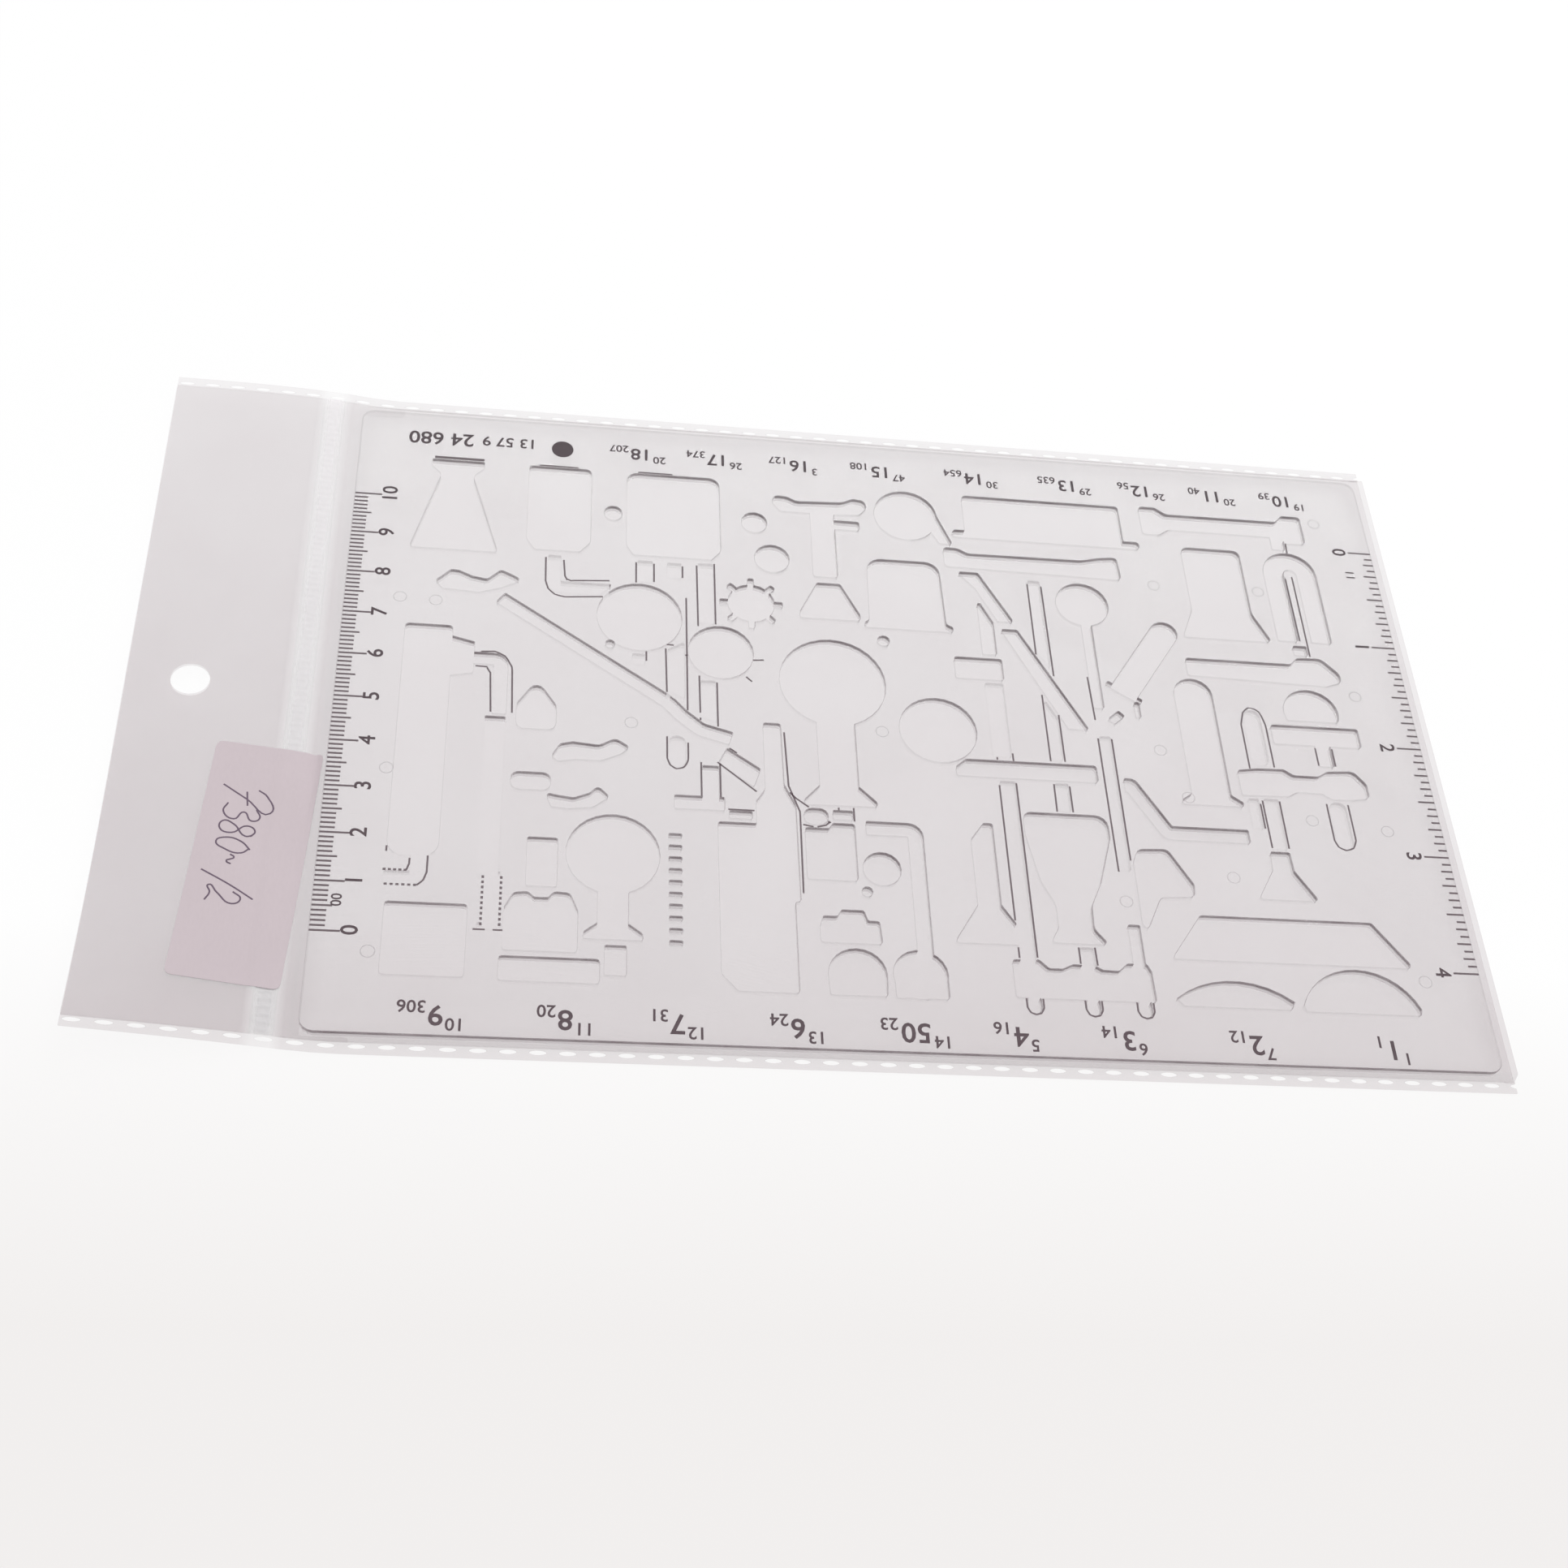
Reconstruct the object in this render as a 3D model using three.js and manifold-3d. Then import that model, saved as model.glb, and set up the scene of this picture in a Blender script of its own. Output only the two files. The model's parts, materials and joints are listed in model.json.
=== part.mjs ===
// Laboratory apparatus stencil ruler in its clear header sleeve.
// Millimetres, +Z up. The plate lies flat, its 10 cm scale is on the left edge and its inch scale on the right.
// Plan places are measured from the zero mark of the 10 cm scale: u runs to the right, v runs away from the front.
// The finished group is moved so that the middle of its footprint is at the origin.

import * as THREE from 'three';
import { mergeVertices } from 'three/addons/utils/BufferGeometryUtils.js';
import Module from 'manifold-3d';

// Stencil plate

const plateLength = 209.9;
const plateWidth = 142.1;
const plateThickness = 1.5;
const plateCornerRadius = 2.5;
const zeroFromLeft = 5.2;
const zeroFromNear = 19.2;
const plateRim = 3;

// Sleeve film and the room that the plate has in it

const filmThickness = 0.15;
const plyGap = 0.2;
const slideGap = 0.2;
const shoulderGap = 0.3;
const nearRoom = 1.0;
const farRoom = 2.0;
const weldWidth = 2.2;
const openEndOverhang = 2.2;
const liftRun = 8.2;

// Perforation of the side seams

const slotLength = 3.0;
const slotWidth = 1.0;
const slotPitch = 4.95;
const slotFromEdge = 1.4;
const slotEndMargin = 0.5;
const slotFromFoldInSleeve = 6.5;
const slotFromFoldInHeader = 3.2;

// Header: its fold line, its crimped band, its hang hole and how it curls up from the table

const foldFromPlate = 1.8;
const foldHalfGap = 0.45;
const headerLength = 34.9;
const bandFromFold = 1.8;
const bandWidth = 4.2;
const hangHoleDiameter = 7.0;
const hangHoleFromLeft = 11.3;
const hangHoleOffMiddle = -1.2;
const headerLift = 1.35;
const nearCornerCurl = 4.2;

// Price label

const labelLength = 48.5;
const labelWidth = 18.7;
const labelThickness = 0.12;
const labelCornerRadius = 1.2;
const labelTurn = THREE.MathUtils.degToRad(-3.7);
const labelFromFold = 9.5;
const labelOffMiddle = -39.5;
const labelGap = 0.15;
const labelFoldMargin = 0.8;

// How finely round stretches are drawn

const chordError = 0.05;
const headerColumns = 7;
const headerRows = 9;
const labelColumns = 4;
const labelRows = 8;
const bandColumns = 3;

// Outline and cutter allowances

const cornerRadius = 0.3;
const smallestSetback = 0.01;
const mergeDistance = 0.0001;
const cutBeyond = 1;

// Places that follow from the sizes

const plateLeft = -zeroFromLeft;
const plateRight = plateLeft + plateLength;
const plateNear = -zeroFromNear;
const plateFar = plateNear + plateWidth;
const pocketHeight = plateThickness + 2 * slideGap;
const topFilmUnder = filmThickness + pocketHeight;
const sleeveHeight = topFilmUnder + filmThickness;
const packThickness = 2 * filmThickness + plyGap;
const nearWeldInner = plateNear - nearRoom;
const nearEdge = nearWeldInner - weldWidth;
const farWeldInner = plateFar + farRoom;
const farEdge = farWeldInner + weldWidth;
const middle = (nearEdge + farEdge) / 2;
const openEnd = plateRight + openEndOverhang;
const foldU = plateLeft - foldFromPlate;
const foldUnder = (sleeveHeight - packThickness) / 2;
const sleeveFold = foldU + foldHalfGap;
const headerFold = foldU - foldHalfGap;
const bandLeft = foldU - bandFromFold - bandWidth;
const headerLeft = foldU - headerLength;
const liftEnd = plateLeft + liftRun;

// Outlines

function arcSteps(radius, sweep) {
  const step = 2 * Math.acos(1 - Math.min(chordError / radius, 0.5));
  return Math.max(1, Math.ceil(sweep / step - 0.001));
}

function circle(u, v, radius) {
  const count = Math.max(8, arcSteps(radius, 2 * Math.PI));
  const points = [];
  for (let k = 0; k < count; k += 1) {
    const angle = (2 * Math.PI * k) / count;
    points.push(new THREE.Vector2(u + radius * Math.cos(angle), v + radius * Math.sin(angle)));
  }
  return points;
}

// A closed outline through corners [u, v, radius]; a corner without a radius stays sharp.
function outline(corners) {
  const points = [];
  corners.forEach(([u, v, radius = 0], k) => {
    const corner = new THREE.Vector2(u, v);
    const [lastU, lastV] = corners[(k + corners.length - 1) % corners.length];
    const [nextU, nextV] = corners[(k + 1) % corners.length];
    const back = new THREE.Vector2(lastU - u, lastV - v);
    const ahead = new THREE.Vector2(nextU - u, nextV - v);
    const room = Math.min(back.length(), ahead.length()) / 2;
    back.normalize();
    ahead.normalize();
    const half = Math.acos(THREE.MathUtils.clamp(back.dot(ahead), -1, 1)) / 2;
    const setback = Math.min(radius / Math.tan(half), room);
    if (setback < smallestSetback) {
      points.push(corner);
      return;
    }
    const trueRadius = setback * Math.tan(half);
    const toCentre = back.clone().add(ahead).normalize().multiplyScalar(setback / Math.cos(half));
    const centre = corner.clone().add(toCentre);
    const start = corner.clone().addScaledVector(back, setback).sub(centre);
    const end = corner.clone().addScaledVector(ahead, setback).sub(centre);
    const sweep = Math.atan2(start.x * end.y - start.y * end.x, start.dot(end));
    const steps = arcSteps(trueRadius, Math.abs(sweep));
    for (let s = 0; s <= steps; s += 1) {
      const spoke = start.clone().rotateAround(new THREE.Vector2(), (sweep * s) / steps);
      points.push(centre.clone().add(spoke));
    }
  });
  return points;
}

function bar(u1, u2, v1, v2, radius = cornerRadius) {
  return outline([[u1, v1, radius], [u2, v1, radius], [u2, v2, radius], [u1, v2, radius]]);
}

// A tube of one width along a bent line of [u, v] points, with flat ends.
function tube(path, width, bendRadius = 1) {
  const line = path.map(([u, v]) => new THREE.Vector2(u, v));
  const left = [];
  const right = [];
  line.forEach((point, k) => {
    const before = line[Math.max(k - 1, 0)].clone();
    const after = line[Math.min(k + 1, line.length - 1)].clone();
    const inward = k > 0 ? point.clone().sub(before).normalize() : after.clone().sub(point).normalize();
    const outward = k < line.length - 1 ? after.clone().sub(point).normalize() : inward.clone();
    const mitre = inward.clone().add(outward).normalize();
    const side = new THREE.Vector2(-mitre.y, mitre.x);
    const reach = width / 2 / mitre.dot(inward);
    const turn = inward.x * outward.y - inward.y * outward.x;
    const bent = k > 0 && k < line.length - 1;
    const inner = Math.max(bendRadius - width / 2, cornerRadius);
    const outer = bendRadius + width / 2;
    const leftRadius = turn > 0 ? inner : outer;
    const rightRadius = turn > 0 ? outer : inner;
    left.push([point.x + side.x * reach, point.y + side.y * reach, bent ? leftRadius : cornerRadius]);
    right.unshift([point.x - side.x * reach, point.y - side.y * reach, bent ? rightRadius : cornerRadius]);
  });
  return outline([...left, ...right]);
}

// The points of the arc that goes from one point over a second to a third.
function arcOver([u1, v1], [u2, v2], [u3, v3]) {
  const d = 2 * (u1 * (v2 - v3) + u2 * (v3 - v1) + u3 * (v1 - v2));
  const q1 = u1 * u1 + v1 * v1;
  const q2 = u2 * u2 + v2 * v2;
  const q3 = u3 * u3 + v3 * v3;
  const cu = (q1 * (v2 - v3) + q2 * (v3 - v1) + q3 * (v1 - v2)) / d;
  const cv = (q1 * (u3 - u2) + q2 * (u1 - u3) + q3 * (u2 - u1)) / d;
  const centre = new THREE.Vector2(cu, cv);
  const start = new THREE.Vector2(u1, v1).sub(centre);
  const end = new THREE.Vector2(u3, v3).sub(centre);
  const way = (u2 - u1) * (v3 - v1) - (v2 - v1) * (u3 - u1) > 0 ? 1 : -1;
  let sweep = Math.atan2(start.x * end.y - start.y * end.x, start.dot(end));
  if (sweep * way < 0) {
    sweep += way * 2 * Math.PI;
  }
  const steps = arcSteps(start.length(), Math.abs(sweep));
  const corners = [];
  for (let s = 0; s <= steps; s += 1) {
    const spoke = start.clone().rotateAround(new THREE.Vector2(), (sweep * s) / steps);
    corners.push([centre.x + spoke.x, centre.y + spoke.y]);
  }
  return corners;
}

function toothedWheel(u, v, bodyRadius, toothRadius, toothWidth, count) {
  const outlines = [circle(u, v, bodyRadius)];
  for (let k = 0; k < count / 2; k += 1) {
    const angle = (2 * Math.PI * k) / count;
    const reach = new THREE.Vector2(Math.cos(angle), Math.sin(angle)).multiplyScalar(toothRadius);
    outlines.push(tube([[u - reach.x, v - reach.y], [u + reach.x, v + reach.y]], toothWidth));
  }
  return outlines;
}

function column(count, make) {
  const outlines = [];
  for (let k = 0; k < count; k += 1) {
    outlines.push(make(k));
  }
  return outlines;
}

// The cut-outs of the plate. Outlines that meet become one opening.

const cutOuts = {
  conicalMeasure: [
    outline([
      [9.3, 110.6, 0.4], [19.7, 110.6, 0.4], [19.7, 109, 0.4], [17.9, 107.2, 0.5], [17.7, 106],
      [23.1, 87.2, 0.5], [6.2, 87.2, 0.5], [11.2, 106], [11.1, 107.2, 0.5], [9.3, 109, 0.4],
    ]),
  ],
  smallBottle: [
    outline([
      [28.6, 110.6, 0.8], [41.1, 110.6, 1.2], [41.1, 91.3, 1.5], [39, 88.7, 0.6],
      [30.2, 88.7, 0.6], [28.6, 91.3, 1.5],
    ]),
  ],
  largeBottle: [
    outline([
      [48.2, 110.6, 2.2], [66.9, 110.6, 2.2], [66.9, 91.2, 1.5], [65, 88.9, 0.6],
      [49.6, 88.9, 0.6], [48.2, 91.2, 1.5],
    ]),
  ],
  burner: [
    outline([
      [77.6, 105.6, 0.8], [78.2, 107.2, 0.8], [80.6, 107.1, 1.5], [82.6, 106, 2], [92, 106.5, 2],
      [94.3, 107.7, 1], [96.6, 107.4, 1], [97.1, 105.6, 0.8], [95.5, 103.6, 1], [90.2, 103.2],
      [90.2, 101.5], [95.3, 101.5, 0.5], [95.3, 99.3, 0.5], [90.2, 99.3], [90.2, 86.4, 0.5],
      [85.3, 86.4, 0.5], [85.3, 103.2], [79.2, 103.2, 1],
    ]),
  ],
  stopperTops: [
    circle(45.5, 99.4, 1.8),
    circle(73.8, 99.5, 2.6),
    circle(77.1, 90.2, 3.5),
    circle(98.4, 70.9, 1.2),
    circle(45.2, 66, 0.9),
    circle(94.7, 17.8, 3.5),
    circle(91.7, 12.8, 1),
  ],
  flaskBase: [
    circle(107.6, 49.9, 7.5),
  ],
  crucible: [
    outline([
      [85.9, 84.6, 0.6], [90.5, 84.6, 0.6], [94.1, 77, 0.8], [94.1, 75.6, 0.5],
      [82.2, 75.6, 0.5], [82.2, 77, 0.8],
    ]),
  ],
  upperRetort: [
    circle(105.1, 104.3, 6.5),
    outline([[108, 104], [111.4, 105.2], [113.2, 100.3], [114.3, 97.4, 0.3], [111.7, 97.4, 0.3], [109.3, 102]]),
  ],
  beaker: [
    outline([
      [96.3, 91.9, 3], [110.9, 91.9, 3], [111.3, 76, 0.8], [112.6, 75.3, 0.4],
      [112.6, 74.2, 0.4], [95, 74.2, 0.4], [95, 75.3, 0.4], [96, 76, 0.8],
    ]),
  ],
  clampWheel: toothedWheel(72.6, 78.3, 4.6, 6.2, 1.2, 8),
  trough: [
    outline([
      [117.3, 110.9, 1], [150.7, 110.9, 0.8], [150.7, 101.3, 0.3], [154, 101.3, 0.8],
      [154, 99.5, 0.8], [114.6, 99.5, 0.8], [114.6, 101.3, 0.8], [117.3, 101.3, 0.3],
    ]),
  ],
  shortDryingTube: [
    outline([
      [112.3, 96.3, 0.8], [115.2, 96.2, 1], [117.3, 95, 1.5], [141, 95.2, 2], [145, 96.2, 1],
      [148.6, 96.6, 0.8], [148.9, 90.8, 0.8], [112.3, 91.4, 0.8],
    ]),
  ],
  longDryingTube: [
    outline([
      [155.3, 111.4, 0.8], [158.8, 111.4, 1], [161, 109.7, 1.5], [185, 109.8, 1], [186.6, 111.6, 0.8],
      [190.6, 111.6, 0.8], [190.6, 104.2, 0.8], [186.6, 104, 1], [185, 105.6, 1], [161, 105.6, 1.5],
      [158.8, 104, 1], [155.3, 104, 0.8],
    ]),
    bar(183.1, 185.9, 102.2, 106),
  ],
  uTube: [
    outline([
      [180, 77.5, 0.4], [180, 101.1, 5.65], [191.3, 101.1, 5.65], [191.3, 77.5, 0.4],
      [187.1, 77.5, 0.4], [187.1, 96.8, 1.45], [184.2, 96.8, 1.45], [184.2, 77.5, 0.4],
    ]),
    bar(182.8, 185.6, 73.9, 76.2),
  ],
  flaredBeaker: [
    outline([
      [162.9, 100.8, 1.5], [175.4, 100.8, 1.5], [175.4, 84, 2], [178.5, 76.9, 0.6],
      [160, 76.9, 0.6], [162.9, 84, 2],
    ]),
  ],
  bulbTube: [
    outline([
      [159.5, 71.3, 0.5], [181.5, 71.3, 1], [183, 73, 1], [188, 73.2, 2], [191.3, 69.5, 2],
      [191.3, 67.5, 1], [188, 66.3, 1], [159.5, 67.1, 0.5],
    ]),
  ],
  dome: [
    outline([...arcOver([177.9, 59.3], [183.5, 64.9], [189.1, 59.3]), [188.7, 57.3, 0.4], [178.3, 57.3, 0.4]]),
  ],
  teeJoint: [
    bar(174.5, 192.3, 51.3, 55.8, 0.5),
    bar(182.8, 185.8, 46.4, 52),
  ],
  waistedTube: [
    outline([
      [165.9, 44.3, 0.5], [170, 44.9], [175.2, 45, 1], [177, 43.7, 1], [182, 43.7, 1], [184, 45, 1],
      [189.3, 45.4, 1.5], [191.5, 42.5, 1.5], [191.5, 39.3, 1], [188, 38.7, 1], [184, 38.6, 1],
      [182, 39.9, 1], [177, 39.9, 1], [175.2, 38.8, 1], [165.9, 38.6, 0.5],
    ]),
    bar(169.2, 172.6, 45.8, 59, 1.6),
    bar(169.9, 172.8, 26.5, 37.8),
    bar(182.9, 186.2, 27.3, 37.8, 1.5),
    bar(166.8, 168.9, 31, 37.7),
  ],
  smallFunnel: [
    outline([
      [169.2, 25.7, 0.3], [172.9, 25.7, 0.3], [173.1, 21.6, 0.5], [176.8, 15.2, 0.5],
      [165.3, 15.2, 0.5], [169, 21.6, 0.5],
    ]),
  ],
  testTube: [
    outline([
      [155.9, 66, 3.85], [163.6, 66, 3.85], [163.6, 38.2, 0.6], [165.8, 36.6, 0.5], [165.6, 35.8, 0.3],
      [153.9, 35.8, 0.3], [153.7, 36.6, 0.5], [155.9, 38.2, 0.6],
    ]),
  ],
  bentTube: [
    tube([[142.8, 39.4], [144, 39.4], [149.9, 28.9], [165.6, 28.9]], 2.9),
  ],
  slantedTestTube: [
    tube([[155.9, 77.3], [145.6, 61.7]], 5.6),
    circle(155.9, 77.3, 2.8),
    tube([[145.9, 62.1], [145.3, 61.2]], 7.8),
    tube([[144.4, 56.4], [142.2, 54.4]], 1.6),
    bar(147.3, 148.3, 55.7, 59.3),
  ],
  pearFlask: [
    circle(139.8, 83.5, 5.4),
    bar(139, 141.1, 57.5, 79),
    bar(139.2, 141.4, 20, 50.5),
    bar(139.2, 141.4, -1, 8.2),
  ],
  middleTube: [
    bar(129.6, 132.2, -1, 3),
    bar(129.1, 131.7, 32.7, 38.8),
    outline([[129.1, 44.5, 0.3], [131.5, 44.5, 0.3], [131.5, 54.2, 0.3], [129.1, 59.1, 0.3]]),
    outline([[129.1, 70.9, 0.3], [131.5, 66, 0.3], [131.5, 88.8, 0.3], [129.1, 88.8, 0.3]]),
  ],
  slantedTube: [
    outline([[114.7, 90, 0.3], [118.9, 90, 0.5], [125.1, 77.8, 0.3], [121.9, 77.8, 0.3], [118.1, 86, 0.5]]),
    outline([[122.3, 75.7, 0.3], [125.6, 75.7, 0.3], [137.4, 52, 0.3], [133.4, 52, 0.3]]),
  ],
  leftTube: [
    outline([[118.1, 82, 0.2], [118.7, 82, 0.2], [120.9, 77.2, 0.5], [120.9, 69.2, 0.3], [118.1, 69.2, 0.3]]),
    bar(112.2, 121.7, 62.9, 68, 0.5),
    bar(117.8, 121.4, 44.5, 61.9),
    bar(118.5, 121.4, -1, 38.7),
  ],
  standBar: [
    outline([
      [110.4, 39.6, 0.5], [137.7, 39.6, 0.6], [137.7, 43.4, 0.6], [112.5, 43.4, 0.4], [110.4, 41.6, 0.4],
    ]),
  ],
  stemFunnel: [
    outline([
      [106.9, 3.1, 0.5], [111.8, 11, 0.5], [111.8, 25.2, 0.5], [114.4, 28.9, 0.5],
      [116.1, 28.9, 0.5], [116.1, 11.2, 0.5], [121.2, 3.1, 0.5],
    ]),
  ],
  conicalFlask: [
    outline([
      [122.2, 31.9, 1.5], [138.3, 31.9, 3], [138.3, 27, 2], [135.3, 17, 3], [133, 12, 3], [132.8, 7, 2],
      [135.2, 3.9, 0.5], [124.6, 3.9, 0.5], [126.3, 7, 1], [126.3, 12, 2], [124, 17, 3], [122.2, 27, 2],
    ]),
  ],
  lowerRetort: [
    outline([
      [142.2, 22, 1.5], [143.3, 24.8, 1.5], [149, 25.1, 1.5], [153.1, 17.5, 1],
      [152.8, 15, 0.8], [146.3, 14.5, 1], [143, 7.6, 0.6], [142.1, 8.5, 0.6],
    ]),
  ],
  threeTubeStopper: [
    outline([
      [117, -0.1, 0.5], [121.8, 0.1, 0.5], [123.5, -1.6, 0.5], [126, -1.6, 0.5], [128, -0.6, 0.5],
      [132, -0.7, 0.5], [133.3, -1.5, 0.5], [136.3, -1.6, 0.5], [138, 0, 0.5], [141.6, 0.1, 0.5],
      [142.3, -1.5, 0.5], [142.4, -7.6, 0.5], [117, -7.6, 0.5],
    ]),
    ...[120.2, 130.8, 140.2].map((u) => bar(u - 1.2, u + 1.2, -10.7, -7, 1.2)),
  ],
  basin: [
    outline([
      [153.2, 10.9, 0.8], [185.9, 10.9, 0.8], [191.7, 2.4, 0.6], [191.4, 1.6, 0.3],
      [147, 1.6, 0.3], [147.2, 2.4, 0.6],
    ]),
  ],
  watchGlass: [
    outline([...arcOver([146.3, -6.6], [157, -2.7], [168, -6.5]), [167.3, -8, 0.3], [147.5, -8, 0.3]]),
    outline([...arcOver([169.8, -7], [181, 0.7], [191.8, -7]), [191.5, -8.2, 0.3], [170.1, -8.2, 0.3]]),
  ],
  gasCylinder: [
    outline([[6.7, 68, 0.8], [15.6, 68, 0.8], [15.6, 16, 3], [6.7, 16, 3]]),
    outline([[15, 65.7], [19.8, 64.4, 0.3], [19.8, 57.2, 0.3], [15, 56.2]]),
    tube([[19, 60.7], [24.9, 60.7], [24.9, 48]], 2.6, 1.3),
    bar(22.4, 26.2, 12.8, 47.2),
    bar(23.8, 26.6, 2.2, 13.4),
    bar(22.9, 27.2, 1.7, 2.9),
    tube([[6.5, 11.4], [12.3, 11.4], [12.3, 17]], 2.6, 1.3),
  ],
  block: [
    bar(7.1, 21.2, -7.9, 6.4, 0.6),
  ],
  flame: [
    outline([
      [28.1, 45, 1.5], [28.1, 50.5, 2], [31.7, 56.2, 1.5], [35.4, 50.5, 2], [35.4, 45, 1.5],
    ]),
  ],
  flameRow: [
    outline([
      [34.8, 39, 0.5], [36.3, 41.8, 1], [38.6, 42.4, 1], [43.5, 41.9, 2], [46.4, 43.7, 1.5],
      [49, 41.9, 0.5], [47.5, 40.4, 1], [43.8, 38.6, 2], [39, 38.6, 1], [36, 38, 0.5],
    ]),
    bar(27.6, 34.8, 31.4, 35.1, 1.5),
    outline([
      [33.9, 30.8, 0.5], [36, 30.3, 1], [39, 29.9, 1], [42, 31.2, 1], [43.3, 32.8, 0.8],
      [45.4, 30.6, 0.5], [42.5, 28.2, 1], [38, 27.6, 1], [35, 27.9, 0.5],
    ]),
    outline([
      [11.7, 79, 0.5], [13, 80.3, 0.8], [14.5, 81.9, 0.8], [16, 81.8, 0.8], [18.5, 80.6, 1], [21.5, 80, 1],
      [24, 82.6, 0.8], [26, 81.6, 0.8], [28, 80.4, 0.5], [24, 78.2, 1], [20, 76.8, 1], [13, 77.3, 0.8],
    ]),
  ],
  roundFlask: [
    circle(46.2, 18.3, 8.35),
    bar(43.6, 49, 2, 11),
    outline([[41.1, 0.7, 0.3], [51.6, 0.7, 0.3], [51.4, 2, 0.4], [48.8, 4], [43.8, 4], [41.3, 2, 0.4]]),
    bar(44.9, 48.7, -6.4, -0.6),
  ],
  lamp: [
    bar(31, 36.4, 10.9, 21, 0.4),
    outline([
      [27.4, 6, 1], [29, 9.3, 1], [31.5, 9.6, 1], [32.5, 8.5, 0.5], [35, 8.5, 0.5], [36, 9.8, 1],
      [38.8, 9.6, 1], [40.2, 6, 1], [40.2, -2.2, 0.6], [27.4, -2.2, 0.6],
    ]),
    bar(26.9, 44.1, -8.2, -3.5, 0.6),
  ],
  gasSlots: column(10, (k) => bar(56.1, 58.5, 0.1 + 2.48 * k, 0.9 + 2.48 * k)),
  separatingFunnel: [
    circle(50.8, 73.1, 8.2),
    bar(50.4, 53.4, 82.1, 87.3),
    bar(49.4, 51.9, 61.6, 63.9),
    outline([
      [32.9, 87.2, 0.3], [35.5, 87.2, 0.3], [35.5, 80.7, 0.3], [45.6, 80.7, 0.3], [43.2, 78.1, 0.3],
      [32.9, 78.1, 2.6],
    ]),
  ],
  dropFunnel: [
    bar(56.2, 59, 83.5, 87.2),
    outline([[56.2, 65.5, 0.3], [59.4, 67.4, 0.3], [59.4, 54, 0.3], [56.2, 55.8, 0.3]]),
    bar(56.3, 59.4, 38.2, 45, 1.4),
    circle(66.4, 65.6, 6.3),
    bar(62.3, 65.3, 72.6, 87.6),
    outline([[62.4, 58.4, 0.3], [65.3, 58.4, 0.3], [65.3, 48.9, 0.3], [62.4, 49.9, 0.3]]),
  ],
  longSlantedTube: [
    tube([[24.2, 75.7], [56.1, 53], [58.5, 50.2], [62.2, 46.9], [67.9, 45.2]], 2.8, 3),
    outline([[67.1, 42.9, 0.3], [73.2, 38.5, 0.3], [71.9, 34.5, 0.3], [65.5, 39.5, 0.3]]),
    bar(62.4, 65.5, 30.5, 38.6),
    bar(57.2, 66.4, 28.9, 31.7),
    bar(67.2, 71.4, 27.3, 28.9),
  ],
  gasJar: [
    outline([
      [74, 49.2, 0.5], [77.3, 49.2, 0.5], [77.5, 35.2, 1], [79.5, 30.8, 1], [79.6, 10.3, 0.4],
      [78.6, 9.9, 0.4], [78.6, -8.5, 0.5], [68, -8.5, 0.5], [65.1, -5.2, 0.5], [65.1, 26.3, 0.5],
      [72.2, 26.3, 0.3], [72.2, 31.2, 0.5], [74, 34, 1],
    ]),
  ],
  boilingFlask: [
    circle(87.8, 59.9, 10.3),
    bar(84.2, 91.5, 33, 51),
    outline([[81, 31.2, 0.4], [94.8, 31.4, 0.4], [94.6, 32.4, 0.4], [91.5, 35.6], [84.2, 35.6], [81.2, 32.2, 0.4]]),
    bar(86.3, 90, 28.2, 30.1),
  ],
  elbowTube: [
    tube([[92.3, 26.6], [101.4, 26.6], [101.4, -0.5]], 2.8, 1.4),
    circle(100.2, -3.9, 4.9),
    bar(95.6, 105, -8.6, -4, 0.5),
  ],
  crucibleSet: [
    outline([
      [81, 15, 0.6], [90.2, 15, 0.6], [90.2, 27.2, 0.5], [86.2, 27.2, 0.4], [85.4, 26, 0.3], [81, 26, 0.5],
    ]),
    bar(80.9, 85.4, 26.9, 30.3, 1.6),
  ],
  smallLamp: [
    outline([
      [82.8, 5, 0.5], [83.4, 7.3, 0.5], [86, 7.3, 0.5], [86.8, 8.7, 0.5], [90.8, 8.7, 0.5],
      [91.4, 6.6, 0.5], [93.5, 6.6, 0.5], [93.8, 2, 0.5], [82.8, 2, 0.5],
    ]),
    outline([...arcOver([83.8, -4.4], [89, 0.8], [94.2, -4.4]), [94, -8.5, 0.4], [84, -8.5, 0.4]]),
  ],
};

// Solids

const wasm = await Module();
wasm.setup();

function toSolid(geometry) {
  geometry.deleteAttribute('normal');
  geometry.deleteAttribute('uv');
  const merged = mergeVertices(geometry, mergeDistance);
  const vertProperties = new Float32Array(merged.attributes.position.array);
  const triVerts = new Uint32Array(merged.index.array);
  return new wasm.Manifold(new wasm.Mesh({ numProp: 3, vertProperties, triVerts }));
}

function toGeometry(solid) {
  const { vertProperties, triVerts } = solid.getMesh();
  const geometry = new THREE.BufferGeometry();
  geometry.setAttribute('position', new THREE.BufferAttribute(vertProperties, 3));
  geometry.setIndex(new THREE.BufferAttribute(triVerts, 1));
  geometry.computeVertexNormals();
  return geometry;
}

function prism(points, bottom, top, holes = []) {
  const shape = new THREE.Shape(points);
  shape.holes = holes.map((hole) => new THREE.Path(hole));
  const geometry = new THREE.ExtrudeGeometry(shape, { depth: top - bottom, bevelEnabled: false });
  return geometry.translate(0, 0, bottom);
}

function stations(from, to, count) {
  return Array.from({ length: count + 1 }, (_, k) => from + ((to - from) * k) / count);
}

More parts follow.
